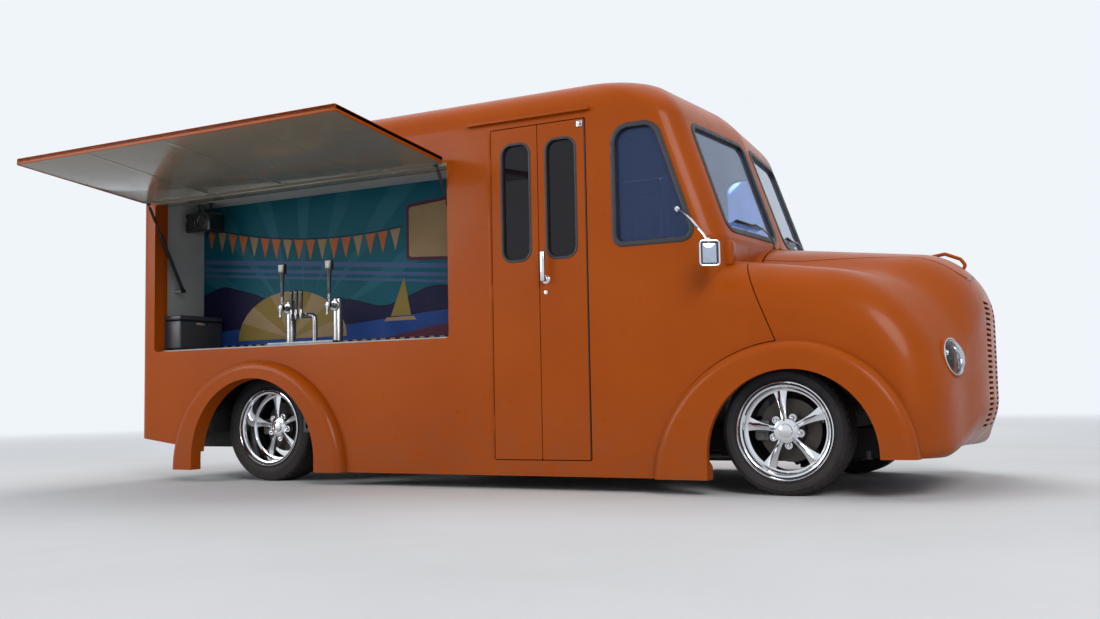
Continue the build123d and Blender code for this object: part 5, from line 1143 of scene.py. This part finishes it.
parts = [boxShape((x0, y0, z0 + 0.01), (x1, y1, z1 - coolBox["lid"] - 0.004), 0.01, 3),
         boxShape((x0, y0 - 0.004, z1 - coolBox["lid"]), (x1 + 0.005, y1, z1), 0.009, 3)]
bright = [boxShape((x1 - 0.001, -0.66, z1 - 0.06), (x1 + 0.008, -0.56, z1 - 0.04), 0.003)]
bright += [tubeShape((x1 - 0.035, y, z0), (x1 - 0.035, y, z0 + 0.014), 0.014, 0.012, 20, 0.001)
           for y in (y0 + 0.05, y1 - 0.05)]
piece("coolBox", {"boxGrey": parts, "polished": bright})
print("counter ready")

# Driver's seat: padded cushions on a steel pan and pedestal
seat = {"y": (0.25, 0.7), "cushion": (0.352, 0.778, 0.592, 0.694), "back": (0.303, 0.397, 0.64, 1.222),
        "soft": 0.026, "voxel": 0.008, "pressure": 4.0, "swell": 0.008, "quickInset": 0.001,
        "channels": 5, "groove": 0.0055, "grooveWide": 0.007, "frames": 20, "at": (0.56, 0.475)}


def bakeModifiers(obj):
    # applies what is live on the object to its mesh
    mesh, old = evaluatedMesh(obj), obj.data
    obj.modifiers.clear()
    obj.data = mesh
    mesh.name = old.name
    bpy.data.meshes.remove(old)
    for polygon in mesh.polygons:
        polygon.use_smooth = True


def padded(name, low, high, axis):
    # a soft block, puffed by cloth pressure, with sewn channels pressed in along one axis afterwards
    swell = seat["swell"]
    inset = Vector((1, 1, 1)) * swell
    low, high = Vector(low), Vector(high)
    block = boxShape(low + inset, high - inset, seat["soft"], 4)
    obj = piece(name, {"seatVinyl": [block]}, "truck", 80)
    remesh = obj.modifiers.new("remesh", "REMESH")
    remesh.mode = "VOXEL"
    remesh.voxel_size = seat["voxel"]
    remesh.use_smooth_shade = True
    bakeModifiers(obj)
    cloth = obj.modifiers.new("cloth", "CLOTH")
    cloth.settings.use_pressure = True
    cloth.settings.uniform_pressure_force = seat["pressure"]
    cloth.settings.effector_weights.gravity = 0
    start = [v.co.copy() for v in obj.data.vertices]
    for step in range(seat["frames"]):
        scene.frame_set(step + 1)
    bakeModifiers(obj)
    for v, before in zip(obj.data.vertices, start):
        move = v.co - before
        if move.length > swell:
            v.co = before + move.normalized() * swell
    scene.frame_set(1)
    pitch = (high.y - low.y) / seat["channels"]
    for v in obj.data.vertices:
        across = (v.co.y - low.y) / pitch
        if 0 < round(across) < seat["channels"]:
            near = abs(across - round(across)) * pitch
            facing = (v.co[axis] - low[axis]) / (high[axis] - low[axis])
            reach = max(0.0, min(1.0, facing * 2 - 0.6))
            v.co[axis] -= seat["groove"] * math.exp(-(near / seat["grooveWide"]) ** 2) * reach
    smooth = obj.modifiers.new("smooth", "SUBSURF")
    smooth.levels = smooth.render_levels = 1
    bakeModifiers(obj)
    return obj


(y0, y1), (x0, x1, z0, z1) = seat["y"], seat["cushion"]
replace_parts(padded("seatCushion", (x0, y0, z0), (x1, y1, z1), 2), "seat")
welts = [tubeShape((x1 - 0.004, y0 + 0.03, z), (x1 - 0.004, y1 - 0.03, z), 0.0035, None, 10)
         for z in (z0 + 0.02, z1 - 0.018)]
x0, x1, z0, z1 = seat["back"]
padded("seatBack", (x0, y0, z0), (x1, y1, z1), 0)
piece("seatWelts", {"seatVinyl": welts})
x, y = seat["at"]
parts = [boxShape((0.372, 0.28, 0.577), (0.76, 0.67, 0.594), 0.006),
         boxShape((0.335, 0.285, 0.58), (0.35, 0.665, 0.7), 0.004)]
# Columns: foot, top, radius at each, sides
for low, high, wide, narrow, count in ((0.334, 0.58, 0.04, 0.036, 36), (0.326, 0.338, 0.088, 0.084, 44),
                                       (0.43, 0.45, 0.045, 0.045, 36)):
    parts.append(tubeShape((x, y, low), (x, y, high), wide, narrow, count, 0.003))
for index in range(4):
    sx, sy = around((x, y), 0.068, math.pi / 4 + math.pi / 2 * index)
    parts.append(tubeShape((sx, sy, 0.336), (sx, sy, 0.344), 0.008, None, 6, 0.001))
piece("seatFrame", {"paintBlack": parts})
print("seat ready")

# Steering wheel with its column, horn button and lever
steering = {"at": (0.93, 0.475, 1.08), "lean": (-0.5, 0, 0.866), "ringR": 0.2, "gripR": 0.0135,
            "column": 0.52, "spokes": 3}
place = shift(steering["at"]) @ turnTo(steering["lean"])
r, grip = steering["ringR"], steering["gripR"]
outline = [around((r, 0), grip, math.tau * k / 16, grip * 0.92) for k in range(16)]
black = [turnedShape(outline, place, 90),
         turnedShape([(0, -0.045), (0.03, -0.045), (0.04, -0.03), (0.042, -0.014), (0.036, -0.008),
                      (0, -0.008)], place, 44)]
for index in range(steering["spokes"]):
    angle = math.tau * index / steering["spokes"] + math.pi / 2
    route = [(*around((0, 0), out, angle), z)
             for out, z in ((0.03, -0.022), (0.08, -0.02), (0.15, -0.004), (0.197, 0))]
    black.append(moved(bentShape(route, 0.0085), place))
lean = Vector(steering["lean"]).normalized()
start = Vector(steering["at"]) - lean * 0.044
end = Vector(steering["at"]) - lean * steering["column"]
route = [start - lean * down + Vector((0, y, z))
         for down, y, z in ((0.06, 0, 0), (0.058, 0.06, 0.004), (0.05, 0.135, 0.02))]
black.append(ballShape(route[-1], 0.009))
bright = [turnedShape([(0, -0.009), (0.033, -0.009), (0.032, -0.004), (0.022, 0.002), (0, 0.004)],
                      place, 44),
          bentShape(route, 0.004)]
column = [tubeShape(start, end, 0.019, None, 32),
          tubeShape(start - lean * 0.01, start - lean * 0.15, 0.026, 0.024, 36, 0.003)]
shapes = {"handleBlack": black, "polished": bright, "paintBlack": column}
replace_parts(piece("steeringWheel", shapes), "steering_wheel")

# Dials and knobs on the dashboard, and pedals under it
dials = {"x": 1.18, "z": 1.176, "row": ((0.325, 0.028), (0.475, 0.036), (0.625, 0.028)), "ticks": 11,
         "knobs": (-0.1, 0.02, 0.14)}
bright, pale, black = [], [], []
for y, r in dials["row"]:
    place = shift((dials["x"], y, dials["z"])) @ turnTo((-1, 0, 0))
    bright += [turnedShape(offset(r, 0, (0.004, 0), (0.005, 0.004), (0.003, 0.008), (0, 0.009),
                                  (-0.002, 0.005), (-0.001, 0)), place, 44),
               turnedShape([(0, 0.003), (0.004, 0.003), (0.0035, 0.006), (0, 0.0065)], place, 16)]
    pale.append(turnedShape([(0, 0.001), (r, 0.001), (r, 0.003), (0, 0.003)], place, 44))
    for index in range(dials["ticks"]):
        tick = boxShape((r - 0.009, -0.0008, 0.003), (r - 0.003, 0.0008, 0.0036))
        black.append(moved(tick, place @ spun(-40 + 26 * index, "Z")))
    needle = boxShape((-0.006, -0.0009, 0.004), (r - 0.007, 0.0009, 0.0048))
    black.append(moved(needle, place @ spun(150, "Z")))
for y in dials["knobs"]:
    black.append(turnedShape([(0, 0), (0.013, 0), (0.013, 0.003), (0.006, 0.005), (0.006, 0.012),
                              (0.012, 0.016), (0.012, 0.024), (0, 0.026)],
                             shift((dials["x"], y, dials["z"])) @ turnTo((-1, 0, 0)), 28))
piece("dashDials", {"polished": bright, "dialFace": pale, "handleBlack": black})
pedals = {"x": 1.09, "z": 0.47, "row": ((0.36, 0.055), (0.5, 0.055), (0.64, 0.035)), "lean": -58}
mats, arms = [], []
x, z = pedals["x"], pedals["z"]
for y, wide in pedals["row"]:
    place = shift((x, y, z)) @ spun(pedals["lean"], "Y")
    half = wide / 2
    mat = [boxShape((-0.04, -half - 0.012, -0.004), (0.04, half + 0.012, 0.004), 0.003)]
    mat += [boxShape((rib - 0.0035, -half - 0.008, 0.003), (rib + 0.0035, half + 0.008, 0.0075), 0.001, 1)
            for rib in (-0.03, -0.015, 0, 0.015, 0.03)]
    mats += allMoved(mat, place)
    arms.append(bentShape([(x + 0.004, y, z), (x + 0.045, y, z + 0.05), (1.168, y, z + 0.08)], 0.008))
piece("pedals", {"rubberMat": mats, "paintBlack": arms})
print("cab fittings ready")

# Rear doors: pressed panels, latch plates and a bare number plate
rear = {"x": -2.551, "across": (0.075, 0.565), "panels": ((0.43, 0.96), (1.18, 1.76)), "proud": 0.004}


def rearFrame(side):
    # local X runs outwards on that side, local Y up, and local Z to the rear
    return Matrix(((0, 0, -1, rear["x"]), (side, 0, 0, 0), (0, 1, 0, 0), (0, 0, 0, 1)))


for label, side in sides:
    body, facing = "rear_door_" + label, rearFrame(side)
    panels = []
    for span in rear["panels"]:
        outline = oblong(rear["across"], span)
        panels += [ringShape(outline, 0.03, 0.012, rear["proud"], facing, 0.0018),
                   ringShape(grownOutline(outline, -0.03), 0.02, 0.006, rear["proud"] * 0.7, facing, 0.001)]
    piece("rearPressing_" + label, {"paintOrange": panels}, body)
    latch = [plateShape(oblong((0.046, 0.094), (0.985, 1.195)), 0.012, 0.003, None, 0.001),
             tubeShape((0.07, 0.955, 0), (0.07, 0.955, 0.008), 0.013, 0.011, 28, 0.001)]
    latch += [tubeShape((0.07, z, 0.003), (0.07, z, 0.0055), 0.006, 0.005, 20, 0.0008) for z in (1.0, 1.18)]
    piece("rearLatch_" + label, {"polished": allMoved(latch, facing)}, body)
plate = {"y": (0.16, 0.465), "z": (0.56, 0.712)}
(y0, y1), z1 = plate["y"], plate["z"][1]
outline, middle = oblong(plate["y"], plate["z"]), (y0 + y1) / 2
bright = [ringShape(grownOutline(outline, 0.006), 0.014, 0.008, 0.009, None, 0.002),
          boxShape((middle - 0.035, z1 + 0.01, 0), (middle + 0.035, z1 + 0.034, 0.026), 0.006, 3)]
bright += [tubeShape((y, z1 - 0.012, 0.006), (y, z1 - 0.012, 0.0085), 0.005, 0.0045, 6)
           for y in (y0 + 0.04, y1 - 0.04)]
shapes = {"plateBlank": [plateShape(outline, 0.01, 0.006, rearFrame(1), 0.001)],
          "polished": allMoved(bright, rearFrame(1))}
piece("numberPlateBare", shapes, "rear_door_left")

# Leaf springs: shorter leaves, clips and U-bolts round the CAD's main leaves
springs = {"front": (1.61925, 0.4, 0.16), "rear": (-1.61925, 0.345, 0.22)}
for label, (x, out, z) in springs.items():
    leaves, clamps = [], []
    for y in (-out, out):
        for level, reach in enumerate((0.36, 0.27, 0.18)):
            top = z - 0.008 * level
            low, high = (x - reach, y - 0.023, top - 0.007), (x + reach, y + 0.023, top)
            leaves.append(boxShape(low, high, 0.002, 1))
        for at in (x - 0.3, x + 0.3):
            low, high = (at - 0.012, y - 0.028, z - 0.012), (at + 0.012, y + 0.028, z + 0.032)
            clamps.append(boxShape(low, high, 0.003))
        for at, beside in ((x + away, y + way) for away in (-0.052, 0.052) for way in (-0.028, 0.028)):
            clamps += [
                tubeShape((at, beside, z - 0.04), (at, beside, z + 0.036), 0.006, None, 12),
                tubeShape((at, beside, z - 0.038), (at, beside, z - 0.028), 0.011, None, 6, 0.001)]
        clamps.append(boxShape((x - 0.07, y - 0.036, z - 0.03), (x + 0.07, y + 0.036, z - 0.022), 0.003))
    piece("springLeaves_" + label, {"paintBlack": leaves, "castGrey": clamps})
print("rear and underside ready")

low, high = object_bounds()
